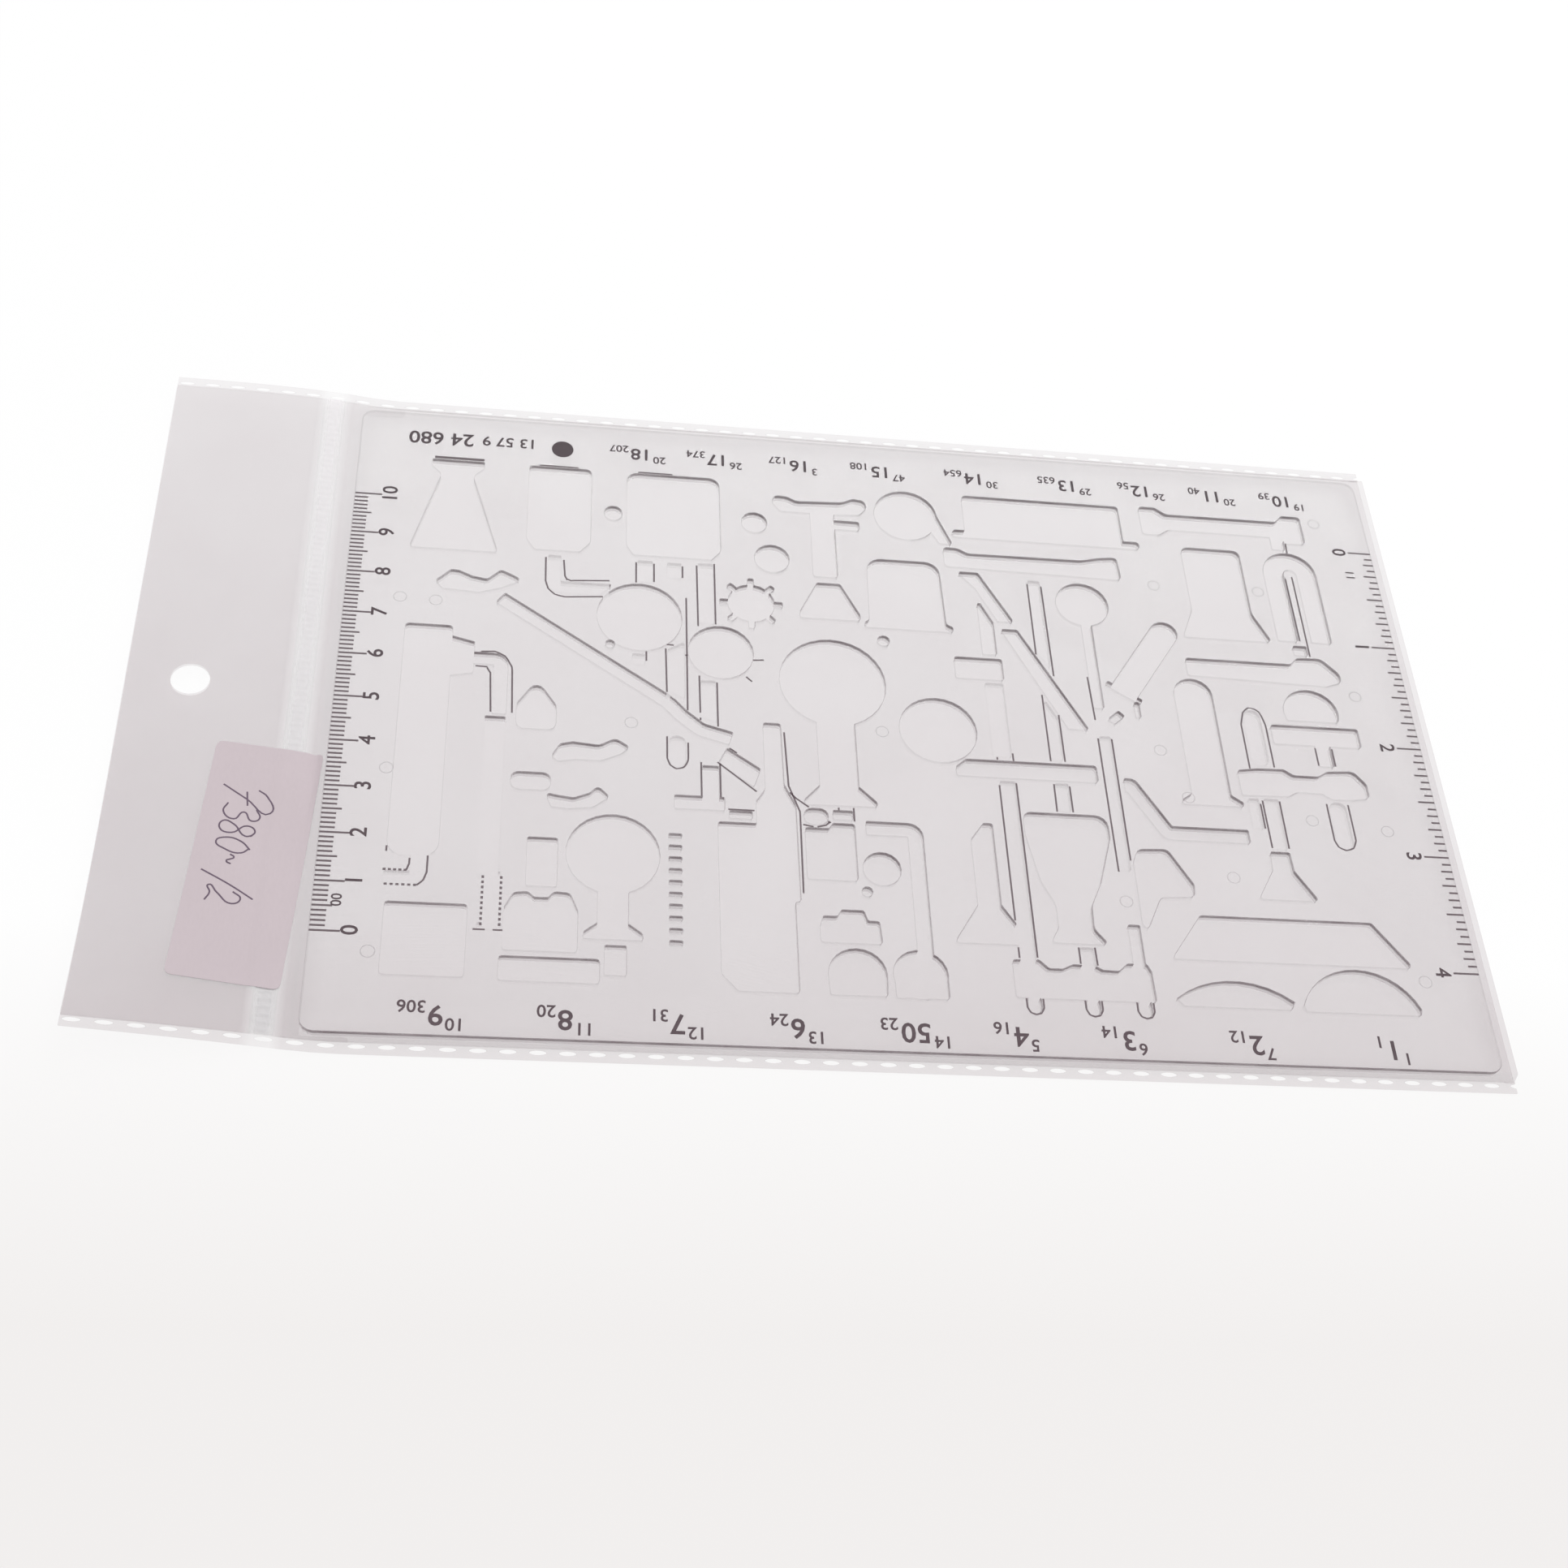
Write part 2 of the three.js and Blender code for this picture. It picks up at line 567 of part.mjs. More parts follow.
// A closed sheet between a lower and an upper grid of points; columns run along u and rows along v.
function sheet(columns, rows, lower, upper) {
  const position = [];
  const index = [];
  const at = (layer, i, j) => (layer * columns + i) * rows + j;
  [lower, upper].forEach((point) => {
    for (let i = 0; i < columns; i += 1) {
      for (let j = 0; j < rows; j += 1) {
        position.push(...point(i, j));
      }
    }
  });
  const quad = (a, b, c, d) => index.push(a, b, c, a, c, d);
  for (let i = 0; i < columns - 1; i += 1) {
    for (let j = 0; j < rows - 1; j += 1) {
      quad(at(1, i, j), at(1, i + 1, j), at(1, i + 1, j + 1), at(1, i, j + 1));
      index.push(at(0, i, j), at(0, i + 1, j + 1), at(0, i + 1, j));
      index.push(at(0, i, j), at(0, i, j + 1), at(0, i + 1, j + 1));
    }
  }
  for (let i = 0; i < columns - 1; i += 1) {
    quad(at(0, i, 0), at(0, i + 1, 0), at(1, i + 1, 0), at(1, i, 0));
    quad(at(0, i + 1, rows - 1), at(0, i, rows - 1), at(1, i, rows - 1), at(1, i + 1, rows - 1));
  }
  for (let j = 0; j < rows - 1; j += 1) {
    quad(at(0, 0, j + 1), at(0, 0, j), at(1, 0, j), at(1, 0, j + 1));
    quad(at(0, columns - 1, j), at(0, columns - 1, j + 1), at(1, columns - 1, j + 1), at(1, columns - 1, j));
  }
  const geometry = new THREE.BufferGeometry();
  geometry.setAttribute('position', new THREE.Float32BufferAttribute(position, 3));
  geometry.setIndex(index);
  return geometry;
}

// How high the lowest film lies: zero on the table, up to the fold beside the plate, and curling up in the header.

function sleeveUnder(u) {
  const share = THREE.MathUtils.clamp((liftEnd - u) / (liftEnd - foldU), 0, 1);
  return foldUnder * share ** 2;
}

function headerUnder(u, v) {
  const out = (foldU - u) / headerLength;
  const towardsNear = Math.max(0, (middle - v) / (middle - nearEdge));
  return foldUnder + headerLift * (1 - (1 - out) ** 3) + nearCornerCurl * out ** 1.2 * towardsNear ** 3;
}

function follow(geometry, under) {
  const { position } = geometry.attributes;
  for (let k = 0; k < position.count; k += 1) {
    position.setZ(k, position.getZ(k) + under(position.getX(k), position.getY(k)));
  }
  return geometry;
}

// Stencil plate

function fitsPlate(points) {
  const along = (p) => p.x > plateLeft + plateRim && p.x < plateRight - plateRim;
  const across = (p) => p.y > plateNear + plateRim && p.y < plateFar - plateRim;
  return points.every((p) => along(p) && across(p));
}

function templatePlate() {
  const bottom = filmThickness + slideGap;
  const top = bottom + plateThickness;
  const body = toSolid(prism(bar(plateLeft, plateRight, plateNear, plateFar, plateCornerRadius), bottom, top));
  const fitting = Object.values(cutOuts).flat().filter(fitsPlate);
  const cutters = fitting.map((points) => toSolid(prism(points, bottom - cutBeyond, top + cutBeyond)));
  return toGeometry(cutters.reduce((solid, cutter) => solid.subtract(cutter), body));
}

// Pouch films

function frontFilm() {
  const leftShoulder = plateLeft - shoulderGap;
  const nearShoulder = plateNear - shoulderGap;
  const farShoulder = plateFar + shoulderGap;
  const lean = (rise, run) => Math.atan2(rise, run);
  const leftLean = lean(topFilmUnder - foldUnder - filmThickness - plyGap, leftShoulder - sleeveFold);
  const nearLean = lean(pocketHeight - plyGap, nearShoulder - nearWeldInner);
  const farLean = lean(pocketHeight - plyGap, farWeldInner - farShoulder);
  const skin = (angle) => filmThickness / Math.cos(angle);
  const shift = (angle) => filmThickness * Math.tan(angle / 2);
  const us = [sleeveFold, leftShoulder, liftEnd, openEnd];
  const vs = [nearWeldInner, nearShoulder, farShoulder, farWeldInner];
  const shiftU = [0, -shift(leftLean), 0, 0];
  const shiftV = [0, -shift(nearLean), shift(farLean), 0];
  const footSkin = [skin(nearLean), filmThickness, filmThickness, skin(farLean)];
  const under = (i, j) => {
    const foot = sleeveUnder(us[i]) + filmThickness + plyGap;
    if (i === 0) {
      return foldUnder + filmThickness + plyGap;
    }
    return j === 0 || j === 3 ? foot : topFilmUnder;
  };
  const lower = (i, j) => [us[i], vs[j], under(i, j)];
  const upper = (i, j) => {
    const thickness = i === 0 ? skin(leftLean) : footSkin[j];
    return [us[i] + shiftU[i], vs[j] + shiftV[j], under(i, j) + thickness];
  };
  return sheet(us.length, vs.length, lower, upper);
}

function backFilm() {
  const us = [sleeveFold, plateLeft, liftEnd, openEnd];
  const vs = [nearWeldInner, plateNear, plateFar, farWeldInner];
  const under = (i, j) => {
    if (i === 0) {
      return foldUnder;
    }
    return j === 0 || j === 3 ? sleeveUnder(us[i]) : 0;
  };
  const lower = (i, j) => [us[i], vs[j], under(i, j)];
  const upper = (i, j) => [us[i], vs[j], under(i, j) + filmThickness];
  return sheet(us.length, vs.length, lower, upper);
}

// Side seams: one fused strip with a row of slots, with an edge point beside each slot so that it can follow a curl

function slotCentres(first, end) {
  const way = Math.sign(end - first);
  const count = Math.floor((Math.abs(end - first) - slotLength / 2 - slotEndMargin) / slotPitch);
  return Array.from({ length: count + 1 }, (_, k) => first + way * k * slotPitch).sort((a, b) => a - b);
}

function seam(from, to, centres, inner, outer, under) {
  const slotV = outer + Math.sign(inner - outer) * slotFromEdge;
  const innerEdge = [from, ...centres, to].map((u) => new THREE.Vector2(u, inner));
  const outerEdge = [from, ...centres, to].map((u) => new THREE.Vector2(u, outer)).reverse();
  const half = slotLength / 2;
  const round = slotWidth / 2;
  const slots = centres.map((u) => [
    new THREE.Vector2(u - half, slotV),
    new THREE.Vector2(u - half + round, slotV - round),
    new THREE.Vector2(u + half - round, slotV - round),
    new THREE.Vector2(u + half, slotV),
    new THREE.Vector2(u + half - round, slotV + round),
    new THREE.Vector2(u - half + round, slotV + round),
  ]);
  const strip = prism([...innerEdge, ...outerEdge], 0, packThickness, slots);
  return follow(strip, under);
}

function sleeveSeam(inner, outer) {
  const centres = slotCentres(foldU + slotFromFoldInSleeve, openEnd);
  return seam(sleeveFold, openEnd, centres, inner, outer, sleeveUnder);
}

function headerSeam(inner, outer) {
  const centres = slotCentres(foldU - slotFromFoldInHeader, headerLeft);
  return seam(headerLeft, headerFold, centres, inner, outer, headerUnder);
}

// Header plies, crimped band and label

function headerSheet(from, to, columns, bottom, top) {
  const us = stations(from, to, columns);
  const vs = stations(nearWeldInner, farWeldInner, headerRows);
  const lower = (i, j) => [us[i], vs[j], headerUnder(us[i], vs[j]) + bottom];
  const upper = (i, j) => [us[i], vs[j], headerUnder(us[i], vs[j]) + top];
  return sheet(us.length, vs.length, lower, upper);
}

function headerPly(bottom) {
  const ply = toSolid(headerSheet(headerLeft, bandLeft, headerColumns, bottom, bottom + filmThickness));
  const hole = circle(headerLeft + hangHoleFromLeft, middle + hangHoleOffMiddle, hangHoleDiameter / 2);
  const above = foldUnder + headerLift + nearCornerCurl + packThickness;
  return toGeometry(ply.subtract(toSolid(prism(hole, -cutBeyond, above + cutBeyond))));
}

function priceLabel() {
  const u = foldU - labelFromFold;
  const v = middle + labelOffMiddle;
  const halfWidth = labelWidth / 2;
  const halfLength = labelLength / 2;
  const turned = bar(-halfWidth, halfWidth, -halfLength, halfLength, labelCornerRadius).map((point) => {
    point.rotateAround(new THREE.Vector2(), labelTurn);
    return point.add(new THREE.Vector2(u, v));
  });
  const reachU = Math.max(...turned.map((point) => Math.abs(point.x - u)));
  const reachV = Math.max(...turned.map((point) => Math.abs(point.y - v)));
  const us = stations(u - reachU - cutBeyond, foldU - labelFoldMargin, labelColumns);
  const vs = stations(v - reachV - cutBeyond, v + reachV + cutBeyond, labelRows);
  const bottom = packThickness + labelGap;
  const lower = (i, j) => [us[i], vs[j], headerUnder(us[i], vs[j]) + bottom];
  const upper = (i, j) => [us[i], vs[j], headerUnder(us[i], vs[j]) + bottom + labelThickness];
  const paper = toSolid(sheet(us.length, vs.length, lower, upper));
  const above = foldUnder + headerLift + nearCornerCurl + bottom + labelThickness;
  return toGeometry(paper.intersect(toSolid(prism(turned, -cutBeyond, above + cutBeyond))));
}

// Materials

const clearPlastic = { color: 0xe2dee0, roughness: 0.25, metalness: 0, transparent: true, opacity: 0.45 };
const clearFilm = { color: 0xe6e2e3, roughness: 0.12, metalness: 0, transparent: true, opacity: 0.2 };
const fusedFilm = { color: 0xdcd6d8, roughness: 0.4, metalness: 0, transparent: true, opacity: 0.45 };
const crimpedFilm = { color: 0xf2efef, roughness: 0.5, metalness: 0, transparent: true, opacity: 0.7 };
const pinkPaper = { color: 0xcdc1c5, roughness: 0.8, metalness: 0 };

function piece(name, geometry, look) {
  geometry.computeVertexNormals();
  const mesh = new THREE.Mesh(geometry, new THREE.MeshStandardMaterial(look));
  mesh.name = name;
  return mesh;
}

// Assembly

const sleeve = new THREE.Group();
sleeve.add(
  piece('sleeve_back_film', backFilm(), clearFilm),
  piece('sleeve_front_film', frontFilm(), clearFilm),
  piece('sleeve_near_weld', sleeveSeam(nearWeldInner, nearEdge), fusedFilm),
  piece('sleeve_far_weld', sleeveSeam(farWeldInner, farEdge), fusedFilm),
);

const header = new THREE.Group();
header.add(
  piece('header_back_ply', headerPly(0), clearFilm),
  piece('header_front_ply', headerPly(filmThickness + plyGap), clearFilm),
  piece('header_seal_band', headerSheet(bandLeft, headerFold, bandColumns, 0, packThickness), crimpedFilm),
  piece('header_near_weld', headerSeam(nearWeldInner, nearEdge), fusedFilm),
  piece('header_far_weld', headerSeam(farWeldInner, farEdge), fusedFilm),
  piece('price_label', priceLabel(), pinkPaper),
);

const group = new THREE.Group();
group.add(sleeve, header, piece('template_plate', templatePlate(), clearPlastic));
group.position.set(-(headerLeft + openEnd) / 2, -middle, 0);

export default group;
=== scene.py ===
"""Laboratory apparatus stencil ruler in its clear header sleeve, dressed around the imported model.

Plan places are written in millimetres from the zero mark of the 10 cm scale: u runs to the right and v away
from the front. Heights are millimetres above the table. Meshes are turned into metres in the row frame.
"""

import json
import math

import bmesh
import bpy
from bpy.props import FloatProperty, FloatVectorProperty, PointerProperty
from mathutils import Euler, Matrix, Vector
from mathutils.bvhtree import BVHTree
from mathutils.geometry import tessellate_polygon


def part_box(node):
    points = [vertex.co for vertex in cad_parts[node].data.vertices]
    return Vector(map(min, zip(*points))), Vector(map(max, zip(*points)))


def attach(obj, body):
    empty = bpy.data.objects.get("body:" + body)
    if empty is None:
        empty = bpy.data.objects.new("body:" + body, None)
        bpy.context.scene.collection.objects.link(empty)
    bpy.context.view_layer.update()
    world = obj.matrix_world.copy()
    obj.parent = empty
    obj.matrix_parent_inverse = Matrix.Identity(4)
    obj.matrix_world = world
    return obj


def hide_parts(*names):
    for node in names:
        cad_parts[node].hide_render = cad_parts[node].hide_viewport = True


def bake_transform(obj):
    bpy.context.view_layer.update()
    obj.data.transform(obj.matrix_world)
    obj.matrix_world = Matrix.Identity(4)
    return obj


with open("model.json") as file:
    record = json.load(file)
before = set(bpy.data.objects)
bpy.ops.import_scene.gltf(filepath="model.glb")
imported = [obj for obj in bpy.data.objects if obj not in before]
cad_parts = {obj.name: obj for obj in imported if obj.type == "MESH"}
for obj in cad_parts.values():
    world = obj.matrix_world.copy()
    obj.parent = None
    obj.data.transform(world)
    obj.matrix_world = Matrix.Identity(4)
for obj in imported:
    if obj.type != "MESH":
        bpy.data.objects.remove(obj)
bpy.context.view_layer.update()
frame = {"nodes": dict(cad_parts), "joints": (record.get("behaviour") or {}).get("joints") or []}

bl_info = {
    "name": "Apparatus stencil ruler",
    "version": (1, 0, 0),
    "blender": (4, 5, 0),
    "location": "View3D > Sidebar > Stencil",
    "description": "Dresses a clear apparatus stencil in its film sleeve with header, band, label and prints",
    "category": "Object",
}

MM = 0.001

# Places in plan millimetres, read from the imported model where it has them

PLATE_LOW, PLATE_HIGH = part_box("template_plate")
NEAR_WELD_LOW, NEAR_WELD_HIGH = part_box("sleeve_near_weld")
FAR_WELD_LOW, FAR_WELD_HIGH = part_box("sleeve_far_weld")
ZERO_FROM_LEFT = 5.2
ZERO_FROM_NEAR = 19.2
ZERO_X = PLATE_LOW.x / MM + ZERO_FROM_LEFT
ZERO_Y = PLATE_LOW.y / MM + ZERO_FROM_NEAR
PLATE_LEFT = -ZERO_FROM_LEFT
PLATE_RIGHT = PLATE_HIGH.x / MM - ZERO_X
PLATE_NEAR = -ZERO_FROM_NEAR
PLATE_FAR = PLATE_HIGH.y / MM - ZERO_Y
PLATE_TOP = PLATE_HIGH.z / MM
NEAR_EDGE = NEAR_WELD_LOW.y / MM - ZERO_Y
NEAR_INNER = NEAR_WELD_HIGH.y / MM - ZERO_Y
FAR_INNER = FAR_WELD_LOW.y / MM - ZERO_Y
FAR_EDGE = FAR_WELD_HIGH.y / MM - ZERO_Y
OPEN_END = NEAR_WELD_HIGH.x / MM - ZERO_X
HEADER_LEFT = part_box("header_back_ply")[0].x / MM - ZERO_X
BAND_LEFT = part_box("header_seal_band")[0].x / MM - ZERO_X
MIDDLE = (NEAR_EDGE + FAR_EDGE) / 2
FOLD = frame["joints"][0]["pos_m"][0] / MM - ZERO_X
BAND_RIGHT = FOLD - 1.8
HEADER_LENGTH = FOLD - HEADER_LEFT

# How the films lie, as in the model, mm: the seams reach the table at LIFT_END

FOLD_UNDER = 0.85
HEADER_LIFT = 1.35
NEAR_CORNER_CURL = 4.2
LIFT_END = 3.0
PLY_STEP = 0.35
TOP_FILM_UNDER = 2.05
SHOULDER = 0.3

# Slack of the front film off the plate, and half the height of its waves and the header's, mm

FILM_SLACK = 0.16
LONG_WAVE = 0.12
SHORT_WAVE = 0.04
HEADER_WAVE = 0.12

# How far from the fold the films bend, mm

BEND_HALF = 1.0

# How finely the films are divided from left to right and from near to far, mm

HEADER_STEP, FOLD_STEP, MOUTH_STEP, LONG_STEP = 1.4, 0.22, 1.0, 3.0
NEAR_STEP, ACROSS_STEP, FAR_STEP = 0.2, 2.6, 0.3

# Rings of points round the hang hole, from 1 at the regular block to 0 at the hole

HOLE_RINGS = (0.55, 0.2, 0.0)


def clamp(x, low=0.0, high=1.0):
    """Keeps a number between two others."""
    return min(max(x, low), high)


def smooth(start, end, x):
    """Rises softly from 0 at start to 1 at end, which may also lie below start."""
    t = clamp((x - start) / (end - start))
    return t * t * (3 - 2 * t)


def in_metres(u, v, z):
    """A plan place in the row frame."""
    return ((u + ZERO_X) * MM, (v + ZERO_Y) * MM, z * MM)


# How high the lowest film lies, as in the model


def header_under(u, v):
    """The header rises from the fold and levels off, and its near corner curls up."""
    out = max(0.0, (FOLD - u) / HEADER_LENGTH)
    to_near = max(0.0, (MIDDLE - v) / (MIDDLE - NEAR_EDGE))
    return FOLD_UNDER + HEADER_LIFT * (1 - (1 - out) ** 3) + NEAR_CORNER_CURL * out**1.2 * to_near**3


def seam_under(u, v):
    """A seam comes down from the fold to the table."""
    if u <= FOLD:
        return header_under(u, v)
    return FOLD_UNDER * clamp((LIFT_END - u) / (LIFT_END - FOLD)) ** 2


def over_plate(v, shoulder):
    """1 over the plate, falling to 0 at the seams."""
    near = smooth(NEAR_INNER, PLATE_NEAR - shoulder, v)
    far = smooth(FAR_INNER, PLATE_FAR + shoulder, v)
    return near * far


def film_wave(u, v):
    """Slack in the front film: it stands a little proud of the plate in long soft waves."""
    long = math.sin(u * 0.043 + v * 0.021 + 0.6) * math.sin(v * 0.05 - u * 0.012 + 1.1)
    short = math.sin(u * 0.11 - v * 0.07) * math.sin(v * 0.13 + 0.4)
    edge = smooth(PLATE_LEFT, PLATE_LEFT + 14, u) * smooth(PLATE_RIGHT, PLATE_RIGHT - 10, u)
    edge *= smooth(PLATE_NEAR, PLATE_NEAR + 8, v) * smooth(PLATE_FAR, PLATE_FAR - 8, v)
    return edge * (FILM_SLACK + LONG_WAVE * long + SHORT_WAVE * short)


def header_wave(u, v):
    """A header ply is never quite flat between its seams."""
    out = smooth(FOLD, FOLD - 10, u)
    return out * HEADER_WAVE * (1 + math.sin(v * 0.085 + u * 0.06)) * over_plate(v, SHOULDER)


def back_film_under(u, v):
    """The back film dips under the plate between the seams."""
    if u <= FOLD:
        return header_under(u, v)
    inner = FOLD_UNDER * (1 - smooth(FOLD, PLATE_LEFT, u))
    share = over_plate(v, 0.0)
    return seam_under(u, v) * (1 - share) + inner * share


def front_film_under(u, v):
    """The front film rises over the plate between the seams."""
    if u <= FOLD:
        return header_under(u, v) + PLY_STEP + header_wave(u, v)
    inner = FOLD_UNDER + PLY_STEP
    inner += (TOP_FILM_UNDER - inner) * smooth(FOLD, PLATE_LEFT - SHOULDER, u) + film_wave(u, v)
    share = over_plate(v, SHOULDER)
    return (seam_under(u, v) + PLY_STEP) * (1 - share) + inner * share


# Settings that a user would change


def number(name, description, value, **limits):
    return FloatProperty(name=name, description=description, default=value, **limits)


def length(name, description, value):
    return number(name, description, value, min=0.0)


def colour(name, description, value):
    return FloatVectorProperty(
        name=name, description=description, default=value, size=3, min=0.0, max=1.0, subtype="COLOR"
    )


def share(name, description, value):
    return number(name, description, value, min=0.0, max=1.0, subtype="FACTOR")


class StencilPlateSettings(bpy.types.PropertyGroup):
    tint: colour("Plastic tint", "Colour of the clear moulded plastic", (0.97, 0.96, 0.965))
    roughness: share("Plastic roughness", "How matt the moulded faces are", 0.05)
    face_cover: share("Face cover", "How much of the flat faces is plastic rather than see-through", 0.06)
    # The cut walls' colours are painted light: a painted shade for their upper part and a paler painted
    # highlight for their lower part
    wall_dark: colour("Dark of the walls", "Colour of the upper part of the cut walls", (0.13, 0.12, 0.125))
    wall_light: colour("Light of the walls", "Colour of the lower part of the cut walls", (0.93, 0.92, 0.925))
    wall_cover: share("Wall cover", "How much the cut walls hide", 0.85)
    chamfer: length("Chamfer", "Chamfer along the upper edge of the plate and its cut-outs, mm", 0.1)
    # The ejector marks' rims are real relief; their grey is a painted shade for how the clear marks show
    mark: colour("Ejector marks", "Colour of the ejector marks' rims", (0.35, 0.33, 0.34))
    mark_cover: share("Ejector mark cover", "How much one surface of such a rim hides", 0.09)
    mark_diameter: length("Ejector mark", "Outer diameter of an ejector mark, mm", 2.4)
    mark_height: length("Ejector mark height", "How far an ejector mark's rim stands proud, mm", 0.04)


class PrintSettings(bpy.types.PropertyGroup):
    ink: colour("Ink", "Colour of the printed numbers", (0.03, 0.027, 0.03))
    scale_ink: colour("Scale ink", "Colour of the scale marks", (0.11, 0.1, 0.105))
    # The lines beside the narrow cut-outs are painted shade of their walls; the dotted rows share this ink
    line_ink: colour("Line ink", "Colour of the lines beside the narrow cut-outs", (0.14, 0.13, 0.135))
    line_width: length("Line width", "Width of a line beside a narrow cut-out, mm", 0.34)
    weight: share("Weight", "How much the numbers are widened, as a share of their height", 0.021)
    thickness: length("Ink thickness", "How far the ink stands on the plate, mm", 0.02)
    numeral_height: length("Numeral height", "Height of the scale numerals, mm", 3.0)
    large_height: length("Large number height", "Height of the large edge numbers, mm", 3.9)
    small_height: length("Small number height", "Height of the small edge numbers, mm", 2.4)
    mark_width: length("Mark width", "Width of a scale mark, mm", 0.4)


class SleeveSettings(bpy.types.PropertyGroup):
    film: colour("Film", "Colour of the clear film", (0.34, 0.225, 0.26))
    film_cover: share("Film cover", "How much one surface of the film hides at the far side", 0.082)
    film_front: share("Film cover at the front", "How much more it hides at the near side", 0.069)
    seam_cover: share("Seam cover", "How much one surface of a fused seam hides at the far side", 0.074)
    seam_front: share("Seam cover at the front", "How much more it hides at the near side", 0.06)
    film_thickness: length("Film thickness", "Thickness of one film, mm", 0.15)
    seam_thickness: length("Seam thickness", "Thickness of the fused seam, mm", 0.35)
    slot_length: length("Slot length", "Length of a slot of the perforation, mm", 3.0)
    slot_width: length("Slot width", "Width of a slot of the perforation, mm", 1.0)
    slot_pitch: length("Slot pitch", "Distance from slot to slot, mm", 4.95)
    slot_from_edge: length("Slot from edge", "Distance of the slots from the outer edge, mm", 1.4)


class HeaderSettings(bpy.types.PropertyGroup):
    hole_diameter: length("Hang hole", "Diameter of the hang hole, mm", 7.0)
    hole_from_left: length("Hole from left", "Hole centre from the header's free edge, mm", 11.3)
    hole_off_middle: number("Hole off middle", "Hole centre off the middle, mm", -1.2)
    rib_pitch: length("Rib pitch", "Distance between the ribs of the seal band, mm", 1.45)
    rib_height: length("Rib height", "Height of the ribs of the seal band, mm", 0.14)
    band: colour("Seal band", "Colour of the crimped seal band", (0.98, 0.95, 0.965))
    band_cover: share("Band cover", "How much one surface of the band hides", 0.48)


class LabelSettings(bpy.types.PropertyGroup):
    paper: colour("Paper", "Colour of the label paper", (0.645, 0.56, 0.59))
    pen: colour("Pen", "Colour of the pen strokes", (0.12, 0.085, 0.12))
    label_length: length("Length", "Long side of the label, mm", 48.5)
    label_width: length("Width", "Short side of the label, mm", 18.7)
    corner: length("Corner", "Corner radius of the label, mm", 1.2)
    thickness: length("Thickness", "Thickness of the label, mm", 0.12)
    turn: number("Turn", "How far the label is turned, degrees", -3.7)
    from_fold: length("From the fold", "Middle of the label, to the left of the fold, mm", 9.5)
    off_middle: number("Off the middle", "Middle of the label, off the middle of the header, mm", -39.5)
    stroke: length("Pen stroke", "Width of a pen stroke, mm", 0.29)


class StageSettings(bpy.types.PropertyGroup):
    floor: colour("Floor", "Colour of the floor", (1.0, 1.0, 1.0))
    warm: colour("Front of the floor", "Colour of the floor towards the front", (0.89, 0.87, 0.862))
    floor_glow: share("Floor glow", "How much of the floor's tone needs no light", 0.9)
    # Painted light: the floor glows more under the plate, which lifts the plate's shadow there
    under_glow: share("Glow under the plate", "How much more of it does so under the plate", 0.07)
    key: number("Key light", "Power of the large lamp", 7.0, min=0.0, unit="POWER")
    fill: number("World light", "Strength of the even light", 0.72, min=0.0)
    lens: number("Lens", "Focal length on a 36 mm sensor", 48.78, min=1.0, unit="CAMERA")


GROUPS = {
    "stencil_plate": StencilPlateSettings,
    "stencil_print": PrintSettings,
    "stencil_sleeve": SleeveSettings,
    "stencil_header": HeaderSettings,
    "stencil_label": LabelSettings,
    "stencil_stage": StageSettings,
}


# Node trees


class Value:
    """A node's output on which Python's operators add Math nodes."""

    def __init__(self, graph, output):
        self.graph = graph
        self.output = output

    def math(self, operation, other=None, swapped=False):
        pair = [self] if other is None else [self, other]
        if swapped:
            pair.reverse()
        made = self.graph.node("ShaderNodeMath", {"operation": operation}, dict(enumerate(pair)))
        return Value(self.graph, made.outputs[0])

    def __add__(self, other):
        return self.math("ADD", other)

    def __sub__(self, other):
        return self.math("SUBTRACT", other)

    def __rsub__(self, other):
        return self.math("SUBTRACT", other, swapped=True)

    def __mul__(self, other):
        return self.math("MULTIPLY", other)

    def __truediv__(self, other):
        return self.math("DIVIDE", other)

    def __mod__(self, other):
        return self.math("FLOORED_MODULO", other)

    def __lt__(self, other):
        return self.math("LESS_THAN", other)

    __radd__ = __add__
    __rmul__ = __mul__

    def clamped(self):
        made = self.graph.node("ShaderNodeClamp", {}, {"Value": self})
        return Value(self.graph, made.outputs[0])


def output_of(value):
    """A wrapped socket, or the first output of a node, as a link's start. Anything else stays."""
    if isinstance(value, Value):
        return value.output
    return value.outputs[0] if isinstance(value, bpy.types.Node) else value


def opaque(value):
    """Gives a colour of three numbers its fourth. Anything else stays."""
    return (*value, 1.0) if isinstance(value, tuple) and len(value) == 3 else value


class Graph:
    """Adds nodes to one tree."""

    def __init__(self, tree):
        self.tree = tree

    def node(self, kind, settings=None, sockets=None):
        made = self.tree.nodes.new(kind)
        for key, value in (settings or {}).items():
            setattr(made, key, value)
        for key, value in (sockets or {}).items():
            start = output_of(value)
            if isinstance(start, bpy.types.NodeSocket):
                self.tree.links.new(start, made.inputs[key])
            else:
                made.inputs[key].default_value = start
        return made

    def value(self, kind, settings=None, sockets=None, out=0):
        return Value(self, self.node(kind, settings, sockets).outputs[out])

    def axes(self, vector):
        """The X, Y and Z of a vector."""
        split = self.node("ShaderNodeSeparateXYZ", {}, {0: vector})
        return [Value(self, output) for output in split.outputs]


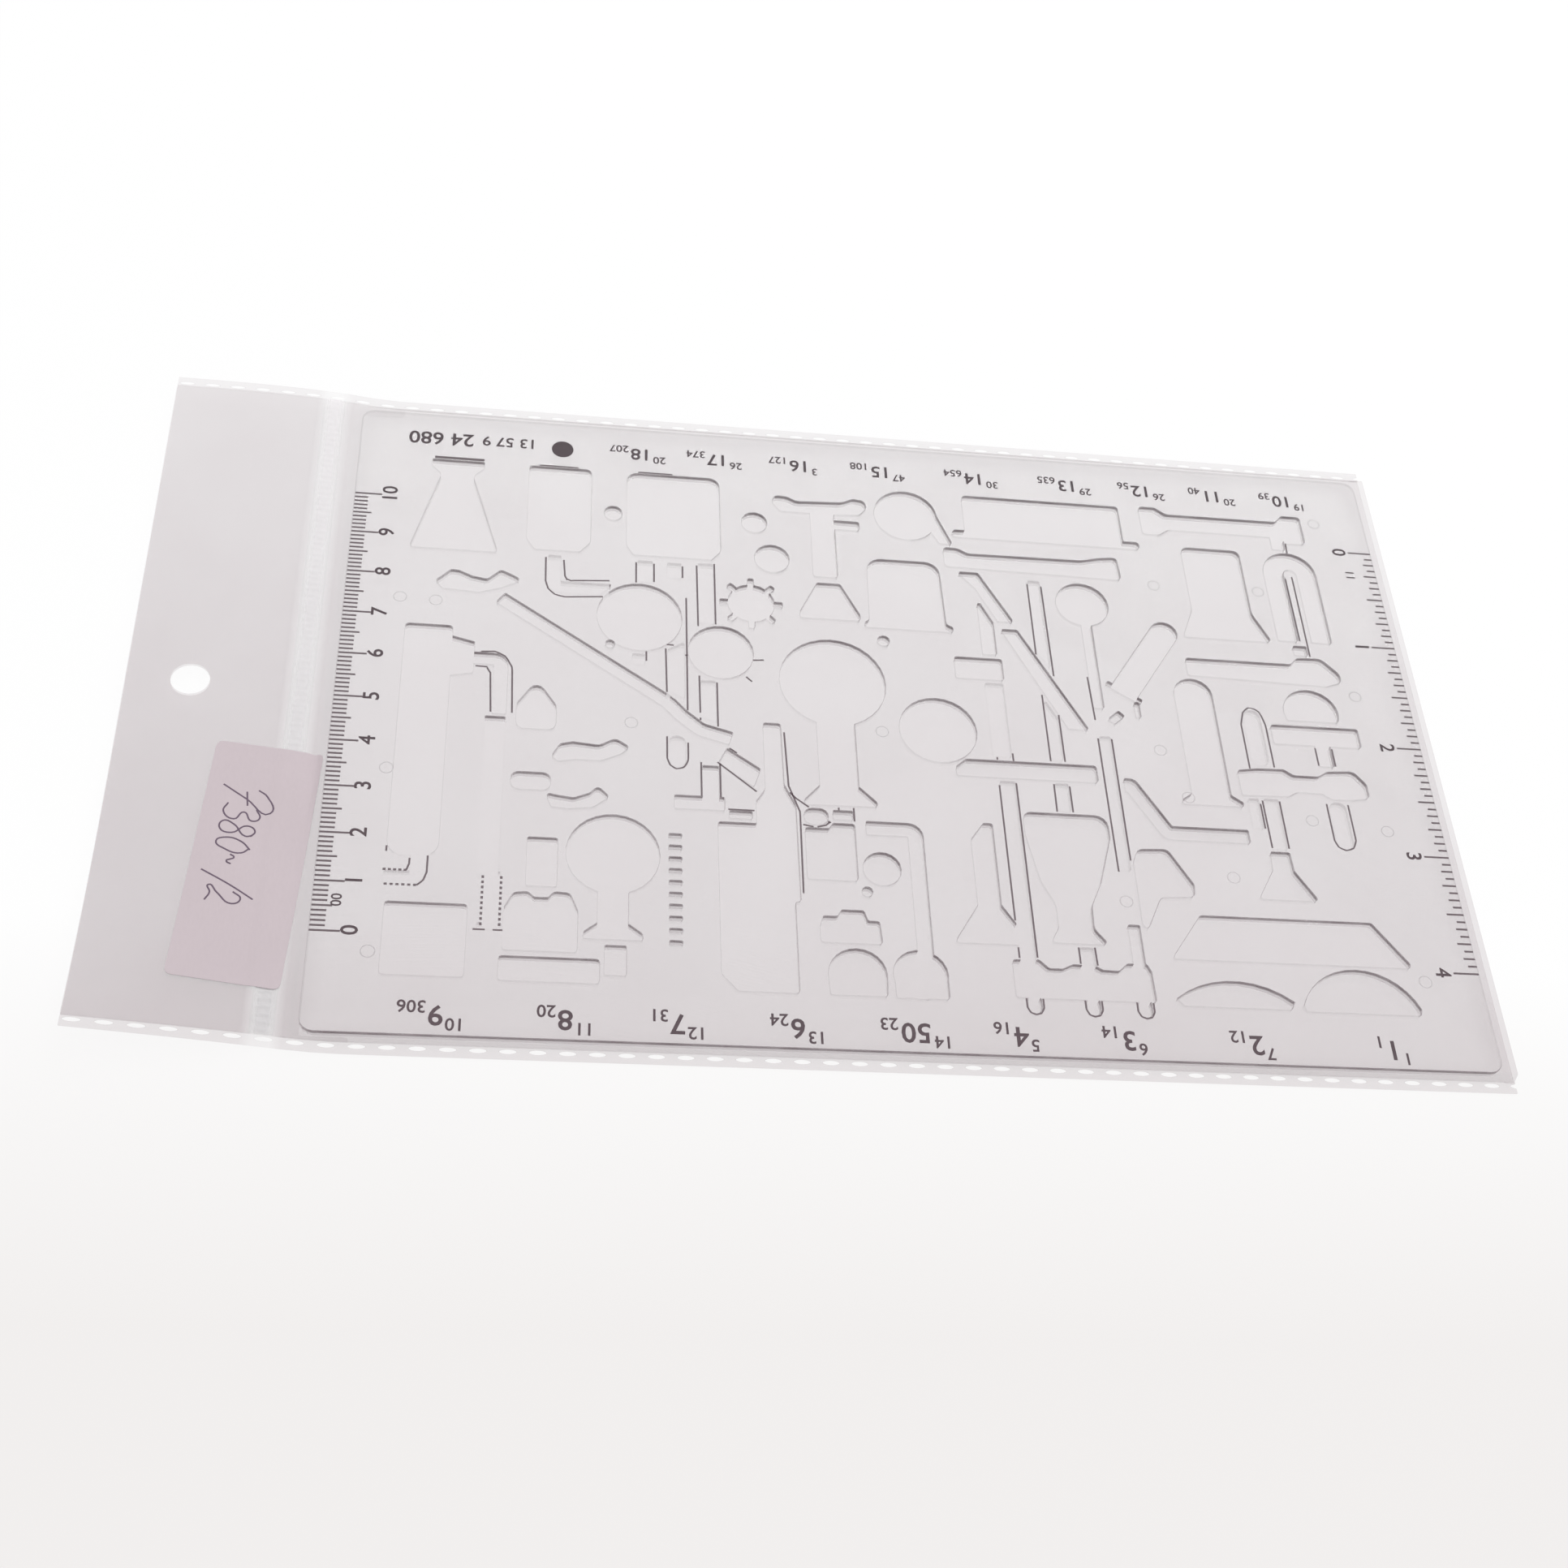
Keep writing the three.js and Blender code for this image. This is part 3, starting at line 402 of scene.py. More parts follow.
class Finish(Graph):
    """A procedural material on object coordinates."""

    def __init__(self, name):
        self.material = bpy.data.materials.new(name)
        self.material.use_nodes = True
        super().__init__(self.material.node_tree)
        self.tree.nodes.clear()
        self.place = self.node("ShaderNodeTexCoord").outputs["Object"]

    def noise(self, size_mm, detail, stretch=(1, 1, 1)):
        moved = self.node("ShaderNodeMapping", {}, {"Vector": self.place, "Scale": stretch})
        sockets = {"Vector": moved, "Scale": 1 / (size_mm * MM), "Detail": detail}
        return self.value("ShaderNodeTexNoise", {"noise_dimensions": "3D"}, sockets)

    def mix(self, factor, first, second):
        """Blends the first colour into the second. The node's colours are inputs 6 and 7, and output 2."""
        kind = {"data_type": "RGBA", "clamp_factor": True}
        made = self.node("ShaderNodeMix", kind, {"Factor": factor, 6: opaque(first), 7: opaque(second)})
        return made.outputs[2]

    def bump(self, height, distance_mm, strength):
        sockets = {"Height": height, "Distance": distance_mm * MM, "Strength": strength}
        return self.node("ShaderNodeBump", {}, sockets)

    def shader(self, **sockets):
        named = {key.replace("_", " "): opaque(value) for key, value in sockets.items()}
        made = self.node("ShaderNodeBsdfPrincipled", {}, named)
        self.node("ShaderNodeOutputMaterial", {}, {"Surface": made})
        return self.material


def tinted(base, factor):
    return tuple(clamp(part * factor) for part in base)


def toward_front(y):
    """0 at the far edge of the sleeve and 1 at its near edge, from a finish's Y."""
    return (((FAR_EDGE + ZERO_Y) * MM - y) / ((FAR_EDGE - NEAR_EDGE) * MM)).clamped()


def off_band(x):
    """Millimetres from the middle line of the seal band, from a finish's X."""
    middle = (BAND_LEFT + BAND_RIGHT) / 2 + ZERO_X
    return (x - middle * MM).math("ABSOLUTE") / MM


def clear_plastic():
    settings = bpy.context.scene.stencil_plate
    finish = Finish("clear_moulded_plastic")
    flow = finish.noise(18, 2.0, (1, 0.4, 1))
    grain = finish.noise(0.8, 1.0)
    base = finish.mix(flow, tinted(settings.tint, 0.985), tinted(settings.tint, 1.015))
    return finish.shader(
        Base_Color=base,
        Roughness=flow * 0.04 + settings.roughness,
        IOR=1.49,
        Transmission_Weight=1.0,
        Alpha=flow * 0.1 + (settings.face_cover - 0.05),
        Normal=finish.bump(flow * 0.7 + grain * 0.05, 0.12, 0.5),
    )


def cut_wall():
    """The cut walls: painted shade along the upper edge and a paler painted highlight below, as strong as
    their attribute says.
    """
    settings = bpy.context.scene.stencil_plate
    finish = Finish("cut_plastic_wall")
    height = (finish.axes(finish.place)[2] - PLATE_LOW.z) / (PLATE_HIGH.z - PLATE_LOW.z)
    # The upper part of each wall gets the painted shade, the lower part the painted highlight
    dark = ((height - 0.38) * 4.0).clamped()
    strength = finish.value("ShaderNodeAttribute", {"attribute_name": "wall_strength"}, {}, "Fac")
    # Noise that makes the painted shade patchy and varies the roughness
    wear = finish.noise(5, 2.0)
    base = finish.mix(dark, tuple(settings.wall_light), tuple(settings.wall_dark))
    cover = (dark * 0.65 + 0.35) * strength * (wear * 0.5 + 0.75) * settings.wall_cover
    return finish.shader(Base_Color=base, Roughness=wear * 0.2 + 0.25, IOR=1.49, Alpha=cover.clamped())


def film_finish(name, base, cover, front, rough, crease_mm):
    """Clear film, a little greyer towards the front, and clearer where the seal band has fused it."""
    finish = Finish(name)
    haze = finish.noise(26, 3.0)
    crease = finish.noise(crease_mm, 2.0, (1, 0.35, 1))
    x, y, _ = finish.axes(finish.place)
    fused = (1.7 - off_band(x) * 0.5).clamped() * 0.55
    tone = finish.mix(haze, tinted(base, 0.93), tinted(base, 1.08))
    alpha = (toward_front(y) * front + haze * (cover * 0.4) + cover * 0.8) * (1 - fused)
    return finish.shader(
        Base_Color=tone,
        Alpha=alpha.clamped(),
        Roughness=haze * 0.1 + rough,
        IOR=1.45,
        Normal=finish.bump(crease, 0.25, 0.35),
    )


def band_finish():
    """Crimped film: whiter and more hiding than the plain film, greyer towards the front, with soft edges."""
    settings = bpy.context.scene.stencil_header
    finish = Finish("crimped_seal_film")
    speck = finish.noise(2.4, 3.0)
    patch = finish.noise(14, 2.0)
    x, y, _ = finish.axes(finish.place)
    greyer = toward_front(y) + patch * 0.2 - 0.1
    tone = finish.mix(greyer, tinted(settings.band, 1.02), tinted(settings.band, 0.8))
    soft_edge = (((BAND_RIGHT - BAND_LEFT) / 2 - off_band(x)) * 0.75).clamped()
    return finish.shader(
        Base_Color=tone,
        Alpha=(patch * (settings.band_cover * 0.9) + settings.band_cover * 0.6) * soft_edge,
        Roughness=speck * 0.2 + 0.3,
        IOR=1.45,
        Normal=finish.bump(speck, 0.08, 0.4),
    )


def paper_finish():
    settings = bpy.context.scene.stencil_label
    finish = Finish("pink_label_paper")
    fibre = finish.noise(0.5, 4.0, (1, 0.4, 1))
    cloud = finish.noise(16, 2.0)
    warm = finish.mix(cloud, tinted(settings.paper, 0.96), tinted(settings.paper, 1.05))
    base = finish.mix(fibre * 0.35, warm, tinted(settings.paper, 0.86))
    return finish.shader(
        Base_Color=base,
        Roughness=fibre * 0.15 + 0.72,
        Normal=finish.bump(fibre, 0.03, 0.6),
    )


def ink_finish(name, ink, rough):
    """Ink, a little worn in places."""
    finish = Finish(name)
    wear = finish.noise(1.1, 3.0)
    base = finish.mix(wear, tinted(ink, 0.85), tinted(ink, 1.6))
    return finish.shader(
        Base_Color=base,
        Roughness=wear * 0.15 + rough,
        Normal=finish.bump(wear, 0.01, 0.4),
    )


def number_ink():
    """The ink of all numbers, which is made once."""
    made = bpy.data.materials.get("number_ink")
    return made or ink_finish("number_ink", bpy.context.scene.stencil_print.ink, 0.4)


# Meshes


def linked(name, data):
    """A new object in the scene."""
    made = bpy.data.objects.new(name, data)
    bpy.context.scene.collection.objects.link(made)
    return made


def make_object(name, points, faces, material):
    """A mesh object at the origin from plan millimetres."""
    mesh = bpy.data.meshes.new(name)
    mesh.from_pydata([in_metres(*p) for p in points], [], faces)
    mesh.update()
    mesh.materials.append(material)
    return linked(name, mesh)


def shade_smooth(made, angle):
    """Smooth shading with edges kept where faces meet at more than an angle in degrees."""
    made.data.polygons.foreach_set("use_smooth", [True] * len(made.data.polygons))
    bpy.context.view_layer.objects.active = made
    made.select_set(True)
    bpy.ops.object.shade_smooth_by_angle(angle=math.radians(angle))
    made.select_set(False)
    return made


def thicken(points, faces, lift):
    """Closes a flat sheet whose faces point up into a shell: every point gets a twin lift above it."""
    count = len(points)
    upper = [(u, v, z + lift) for u, v, z in points]
    shell = [tuple(reversed(face)) for face in faces]
    shell += [tuple(k + count for k in face) for face in faces]
    shell += [(a, b, b + count, a + count) for a, b in rim_sides(faces)]
    return list(points) + upper, shell


def rim_sides(faces):
    """The sides that only one face of a sheet has, each in the direction in which its face runs."""
    sides = dict.fromkeys(side for face in faces for side in zip(face, face[1:] + face[:1]))
    return [(a, b) for a, b in sides if (b, a) not in sides]


def used_only(points, faces):
    """Leaves out the points that no face uses."""
    used = sorted({k for face in faces for k in face})
    renumbered = {old: new for new, old in enumerate(used)}
    return [points[k] for k in used], [tuple(renumbered[k] for k in face) for face in faces]


def grid_lines(stretches, end):
    """Grid lines from stretches, each given by its start and its step, the last of which runs to the end."""
    lines = []
    stops = [start for start, _ in stretches[1:]] + [end]
    for (start, step), stop in zip(stretches, stops):
        count = max(1, round(abs(stop - start) / step))
        lines += [start + (stop - start) * k / count for k in range(count)]
    return lines + [end]


def film_lines():
    """Grid lines of a film: close together where it bends, with a regular block round the hang hole."""
    header = bpy.context.scene.stencil_header
    hole_u = HEADER_LEFT + header.hole_from_left
    hole_v = MIDDLE + header.hole_off_middle
    block = header.hole_diameter * 0.8
    us = grid_lines(
        [(HEADER_LEFT, HEADER_STEP), (hole_u - block, HEADER_STEP), (hole_u + block, HEADER_STEP),
         (FOLD - 1.2, FOLD_STEP), (PLATE_LEFT + 0.4, MOUTH_STEP), (LIFT_END, LONG_STEP)],
        OPEN_END,
    )
    vs = grid_lines(
        [(NEAR_INNER, NEAR_STEP), (PLATE_NEAR + 0.2, ACROSS_STEP), (hole_v - block, HEADER_STEP),
         (hole_v + block, ACROSS_STEP), (PLATE_FAR - 0.2, FAR_STEP)],
        FAR_INNER,
    )
    return us, vs, (hole_u, hole_v, block)


def film_sheet(under):
    """Points and upward faces of one film, with a round hang hole in its header."""
    us, vs, (hole_u, hole_v, block) = film_lines()
    rows = len(vs)
    points = [(u, v) for u in us for v in vs]
    inside_u = [i for i, u in enumerate(us) if abs(u - hole_u) < block + 0.01]
    inside_v = [j for j, v in enumerate(vs) if abs(v - hole_v) < block + 0.01]
    i0, i1, j0, j1 = inside_u[0], inside_u[-1], inside_v[0], inside_v[-1]
    faces = []
    for i in range(len(us) - 1):
        for j in range(rows - 1):
            if i0 <= i < i1 and j0 <= j < j1:
                continue
            a = i * rows + j
            faces.append((a, a + rows, a + rows + 1, a + 1))
    rim = [(i, j0) for i in range(i0, i1)] + [(i1, j) for j in range(j0, j1)]
    rim += [(i, j1) for i in range(i1, i0, -1)] + [(i0, j) for j in range(j1, j0, -1)]
    ring = [i * rows + j for i, j in rim]
    radius = bpy.context.scene.stencil_header.hole_diameter / 2
    outer = [points[k] for k in ring]
    for step in HOLE_RINGS:
        start = len(points)
        for pu, pv in outer:
            angle = math.atan2(pv - hole_v, pu - hole_u)
            cu, cv = hole_u + radius * math.cos(angle), hole_v + radius * math.sin(angle)
            points.append((cu + (pu - cu) * step, cv + (pv - cv) * step))
        new = list(range(start, len(points)))
        for k in range(len(ring)):
            n = (k + 1) % len(ring)
            faces.append((ring[k], ring[n], new[n], new[k]))
        ring = new
    return used_only([(u, v, under(u, v)) for u, v in points], faces)


def faces_of(mesh):
    return [tuple(polygon.vertices) for polygon in mesh.polygons]


def plain_mesh(carrier):
    """A mesh of what an object shows with its modifiers, its text or its strokes worked out."""
    bpy.context.view_layer.update()
    return bpy.data.meshes.new_from_object(carrier.evaluated_get(bpy.context.evaluated_depsgraph_get()))


def taken_apart(carrier):
    """The points and faces of what an object shows. The object itself goes."""
    mesh = plain_mesh(carrier)
    bpy.data.objects.remove(carrier)
    return [tuple(vertex.co) for vertex in mesh.vertices], faces_of(mesh)


def grown_mesh(name, tree, material, inputs, seeds=()):
    """Runs a Geometry Nodes tree once and returns its result as a mesh object, in plan millimetres."""
    carrier = linked(name, bpy.data.meshes.new(name))
    carrier.data.from_pydata(list(seeds), [], [])
    modifier = carrier.modifiers.new("grow", "NODES")
    modifier.node_group = tree
    given = {**inputs, "Material": material}
    for item in tree.interface.items_tree:
        if item.in_out == "INPUT" and item.name in given:
            modifier[item.identifier] = given[item.name]
    mesh = plain_mesh(carrier)
    carrier.modifiers.remove(modifier)
    mesh.materials.clear()
    mesh.materials.append(material)
    carrier.data = mesh
    return carrier


class Grower(Graph):
    """A Geometry Nodes tree with named inputs that ends in Realize Instances and Set Material."""

    def __init__(self, name, **inputs):
        super().__init__(bpy.data.node_groups.new(name, "GeometryNodeTree"))
        sockets = self.tree.interface
        sockets.new_socket(name="Points", in_out="INPUT", socket_type="NodeSocketGeometry")
        for key, (kind, value) in inputs.items():
            item = sockets.new_socket(name=key.replace("_", " "), in_out="INPUT", socket_type=kind)
            item.default_value = value
        sockets.new_socket(name="Material", in_out="INPUT", socket_type="NodeSocketMaterial")
        self.enter = self.node("NodeGroupInput")

    def given(self, name):
        return Value(self, self.enter.outputs[name])

    def vector(self, x=0.0, y=0.0, z=0.0):
        return self.node("ShaderNodeCombineXYZ", {}, {"X": x, "Y": y, "Z": z})

    def moved(self, geometry, **ways):
        return self.node("GeometryNodeTransform", {}, {"Geometry": geometry, **ways})

    def circle(self, corners, radius):
        return self.node("GeometryNodeCurvePrimitiveCircle", {}, {"Resolution": corners, "Radius": radius})

    def line(self, offset):
        sockets = {"Count": self.given("Count"), "Offset": offset}
        return self.node("GeometryNodeMeshLine", {"mode": "OFFSET"}, sockets)

    def copies(self, points, instance, **ways):
        sockets = {"Points": points, "Instance": instance, **ways}
        return self.node("GeometryNodeInstanceOnPoints", {}, sockets)

    def end(self, geometry):
        self.tree.interface.new_socket(name="Geometry", in_out="OUTPUT", socket_type="NodeSocketGeometry")
        real = self.node("GeometryNodeRealizeInstances", {}, {"Geometry": geometry})
        sockets = {"Geometry": real, "Material": self.given("Material")}
        painted = self.node("GeometryNodeSetMaterial", {}, sockets)
        self.node("NodeGroupOutput", {}, {0: painted})
        return self.tree


NUMBER = "NodeSocketFloat"
WHOLE = "NodeSocketInt"


def tick_tree():
    """A row of scale marks along Y, each starting at X = 0, with up to five lengths. It is built once."""
    if "scale_marks" in bpy.data.node_groups:
        return bpy.data.node_groups["scale_marks"]
    grow = Grower(
        "scale_marks",
        Count=(WHOLE, 11), Pitch=(NUMBER, 1.0), Width=(NUMBER, 0.3), Height=(NUMBER, 0.02),
        Length=(NUMBER, 2.6), Second_every=(WHOLE, 5), Second_adds=(NUMBER, 0.0), Third_every=(WHOLE, 10),
        Third_adds=(NUMBER, 0.0), Fourth_every=(WHOLE, 20), Fourth_adds=(NUMBER, 0.0),
        Fifth_every=(WHOLE, 40), Fifth_adds=(NUMBER, 0.0), Turn=(NUMBER, 0.0),
    )
    index = grow.value("GeometryNodeInputIndex")
    reach = grow.given("Length")
    for level in ("Second", "Third", "Fourth", "Fifth"):
        on_mark = (index % grow.given(level + " every")) < 0.5
        reach = reach + on_mark * grow.given(level + " adds")
    block = grow.node("GeometryNodeMeshCube", {}, {"Size": (1.0, 1.0, 1.0)})
    mark = grow.moved(block, Translation=(0.5, 0.0, 0.5))
    size = grow.vector(reach, grow.given("Width"), grow.given("Height"))
    row = grow.line(grow.vector(y=grow.given("Pitch")))
    return grow.end(grow.copies(row, mark, Scale=size, Rotation=grow.vector(z=grow.given("Turn"))))


def perforation_tree():
    """A flat strip along X with a row of oval slots. Y = 0 is its outer edge."""
    grow = Grower(
        "perforated_strip",
        Count=(WHOLE, 10), Pitch=(NUMBER, 4.95), Width=(NUMBER, 2.2), Slot_length=(NUMBER, 3.0),
        Slot_width=(NUMBER, 1.0), Slot_from_edge=(NUMBER, 1.4),
    )
    pitch, width = grow.given("Pitch"), grow.given("Width")
    box = grow.node("GeometryNodeCurvePrimitiveQuadrilateral", {}, {"Width": pitch, "Height": width})
    outline = grow.moved(box, Translation=grow.vector(y=width * 0.5))
    slot = grow.moved(
        grow.circle(14, 0.5),
        Translation=grow.vector(y=grow.given("Slot from edge")),
        Scale=grow.vector(grow.given("Slot length"), grow.given("Slot width"), 1.0),
    )
    both = grow.node("GeometryNodeJoinGeometry", {}, {0: outline})
    grow.tree.links.new(slot.outputs[0], both.inputs[0])
    filled = grow.node("GeometryNodeFillCurve", {}, {"Curve": both})
    row = grow.copies(grow.line(grow.vector(x=pitch)), filled)
    real = grow.node("GeometryNodeRealizeInstances", {}, {"Geometry": row})
    return grow.end(grow.node("GeometryNodeMergeByDistance", {}, {"Geometry": real, "Distance": 0.01}))


def rib_tree():
    """A band of film along Y, crimped into cross ribs."""
    grow = Grower(
        "crimped_band",
        Width=(NUMBER, 4.2), Length=(NUMBER, 145.0), Pitch=(NUMBER, 1.45), Height=(NUMBER, 0.14),
        Columns=(WHOLE, 7), Rows=(WHOLE, 801),
    )
    sizes = {"Size X": "Width", "Size Y": "Length", "Vertices X": "Columns", "Vertices Y": "Rows"}
    grid = grow.node("GeometryNodeMeshGrid", {}, {key: grow.given(name) for key, name in sizes.items()})
    x, y, _ = grow.axes(grow.node("GeometryNodeInputPosition"))
    along = y / grow.given("Pitch") * math.tau
    across = (x / grow.given("Width") * 2).math("ABSOLUTE")
    edge = ((1 - across) * 4).math("MINIMUM", 1.0)
    rise = (1 - along.math("COSINE")) * 0.5 * grow.given("Height") * edge
    sockets = {"Geometry": grid, "Offset": grow.vector(z=rise)}
    return grow.end(grow.node("GeometryNodeSetPosition", {}, sockets))


def ring_tree():
    """Low round marks with a raised rim on given points."""
    grow = Grower("ejector_marks", Diameter=(NUMBER, 2.4), Height=(NUMBER, 0.04))
    across = grow.given("Diameter")
    ring = grow.moved(grow.circle(24, 0.5), Scale=grow.vector(across, across, 1.0))
    profile = grow.moved(grow.circle(6, 1.0), Scale=grow.vector(0.12, grow.given("Height"), 1.0))
    rim = grow.node("GeometryNodeCurveToMesh", {}, {"Curve": ring, "Profile Curve": profile})
    return grow.end(grow.copies(grow.given("Points"), rim))


def moved_points(made, place):
    """Moves every point of a grown mesh to where place puts it, and turns it into metres."""
    for vertex in made.data.vertices:
        vertex.co = in_metres(*place(*vertex.co))
    made.data.update()
    return made


def area(rim):
    """The area inside a rim seen from above, which is negative where the rim runs clockwise."""
    return sum(a[0] * b[1] - b[0] * a[1] for a, b in zip(rim, rim[1:] + rim[:1])) / 2


def upward(points, faces):
    """Turns a flat sheet's faces so that all point up."""
    return [face if area([points[k] for k in face]) > 0 else tuple(reversed(face)) for face in faces]


def finished(made, body, slot_name, *nodes):
    """Attaches a piece to the empty of one body and hides the nodes that it replaces. The slot name is not
    used.
    """
    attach(made, body)
    if nodes:
        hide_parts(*nodes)
    return made


def printed(made):
    """Prints and moulded marks ride on the plate."""
    return finished(made, "ruler", "stencil_plastic")


def bent(made, slot_name, *nodes):
    """Bakes the place of a piece that runs across the fold into its mesh, and hides the nodes that it
    replaces.
    """
    start, end = (Vector(in_metres(FOLD + side, MIDDLE, FOLD_UNDER)) for side in (BEND_HALF, -BEND_HALF))
    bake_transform(made)
    if nodes:
        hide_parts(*nodes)
    return made


# Numbers, whose figures are one unit high at this font size

FONT_SIZE = 1.38


def wider(points, faces, distance):
    """Moves the rims of a flat sheet outwards, so that its strokes grow wider and its holes smaller."""
    after = dict(rim_sides(faces))
    moved = list(points)
    while after:
        here, rim = next(iter(after)), []
        while here in after:
            rim.append(here)
            here = after.pop(here)
        for k, place in zip(rim, set_back([points[k] for k in rim], distance)):
            moved[k] = place
    return moved


def text_mesh(name, items):
    """One mesh of many numbers. An item is (text, u, v, height, turn in degrees)."""
    settings = bpy.context.scene.stencil_print
    points, faces = [], []
    for text, u, v, height, turn in items:
        curve = bpy.data.curves.new("number", "FONT")
        curve.body = text
        curve.size = height * FONT_SIZE
        curve.align_x = "CENTER"
        curve.align_y = "CENTER"
        curve.resolution_u = 3
        flat, sheet = taken_apart(linked("number", curve))
        across, along = math.cos(math.radians(turn)), math.sin(math.radians(turn))
        plain = [(u + x * across - y * along, v + x * along + y * across) for x, y, _ in flat]
        start = len(points)
        points += [(pu, pv, PLATE_TOP) for pu, pv in wider(plain, sheet, settings.weight * height)]
        faces += [tuple(k + start for k in face) for face in sheet]
    points, faces = thicken(points, faces, settings.thickness)
    return make_object(name, points, faces, number_ink())


def plate_rims():
    """The closed rims of the plate's upper face, each anticlockwise, with the outer rim first."""
    shape = bmesh.new()
    shape.from_mesh(frame["nodes"]["template_plate"].data)
    bmesh.ops.remove_doubles(shape, verts=shape.verts, dist=1e-7)
    beside = {}
    for edge in shape.edges:
        tilts = sorted(face.normal.z for face in edge.link_faces)
        if tilts[-1] > 0.9 and abs(tilts[0]) < 0.5:
            a, b = edge.verts
            beside.setdefault(a, []).append(b)
            beside.setdefault(b, []).append(a)
    rims = []
    while beside:
        here = next(iter(beside))
        rim = []
        while here is not None:
            rim.append((here.co.x / MM - ZERO_X, here.co.y / MM - ZERO_Y))
            near = beside.pop(here)
            here = next((v for v in near if v in beside), None)
        if area(rim) < 0:
            rim.reverse()
        rims.append(rim)
    shape.free()
    return sorted(rims, key=area, reverse=True)


def set_back(rim, distance):
    """Moves a rim to its right by a distance, with mitred corners."""
    moved = []
    for before, here, after in zip(rim[-1:] + rim[:-1], rim, rim[1:] + rim[:1]):
        sides = []
        for a, b in ((before, here), (here, after)):
            run = math.hypot(b[0] - a[0], b[1] - a[1])
            sides.append(((b[1] - a[1]) / run, (a[0] - b[0]) / run))
        (pu, pv), (qu, qv) = sides
        reach = distance / max(0.4, 1 + pu * qu + pv * qv)
        moved.append((here[0] + (pu + qu) * reach, here[1] + (pv + qv) * reach))
    return moved


def filled(rims, start):
    """Triangles of the flat face between rims whose points are counted from start."""
    loops = [[Vector((u, v, 0)) for u, v in rim] for rim in rims]
    return [tuple(k + start for k in corners) for corners in tessellate_polygon(loops)]


# Narrow tubes, whose walls get little painted shade because dark lines beside them paint it: left, near,
# right, far

FAINT_WALLS = [
    (62.0, 72.4, 65.6, 88.0), (50.1, 81.8, 53.7, 87.6), (55.9, 83.2, 59.3, 87.5),
    (55.9, 54.0, 59.7, 67.4), (62.1, 48.7, 65.6, 58.7), (56.0, 37.9, 59.7, 45.3),
    (128.8, 66.7, 131.8, 89.1), (128.8, 44.2, 131.8, 58.4), (128.8, 32.4, 132.0, 39.1),
    (118.2, 0.2, 121.7, 39.0), (117.5, 44.2, 121.7, 62.2), (129.3, -0.4, 132.5, 3.3),
    (138.9, 19.7, 141.7, 50.8), (168.9, 45.5, 172.9, 59.3), (169.6, 26.2, 173.1, 38.1),
    (182.6, 27.0, 186.5, 38.1), (166.5, 30.7, 169.2, 38.0), (32.6, 77.8, 44.6, 87.5),
    (22.1, 1.4, 27.5, 46.9), (6.0, 9.6, 14.5, 16.8), (49.2, 61.4, 52.1, 64.1),
]

# Middles of the ejector marks

EJECTOR_MARKS = [
    (5.3, 74.3), (12.0, 74.0), (5.5, 34.4), (5.0, -3.7), (193.5, 110.0), (193.5, 64.0), (193.5, 31.7),
    (193.8, -1.2), (96.7, 48.7), (151.0, 48.0), (155.0, 37.2), (161.0, 19.5), (178.8, 33.3),
    (139.6, 13.2), (155.6, 89.8), (177.8, 90.0), (49.3, 47.5),
]


# How strongly the painted shade shows on any wall, what facing the front or the left adds, and the share of
# the faint walls

WALL_LEAST, WALL_FRONT, WALL_LEFT, WALL_FAINT = 0.13, 0.87, 0.55, 0.3


def wall_strength(normal, u, v):
    """How strongly a cut wall's painted shade shows: walls that face the front or the left get more of it.
    What facing the left adds grows over the plate's left half.
    """
    to_front = max(0.0, -normal.y) * WALL_FRONT
    to_left = max(0.0, -normal.x) * WALL_LEFT * clamp((u - 15) / 90)
    faint = any(left < u < right and near < v < far for left, near, right, far in FAINT_WALLS)
    return clamp(WALL_LEAST + to_front + to_left) * (WALL_FAINT if faint else 1.0)


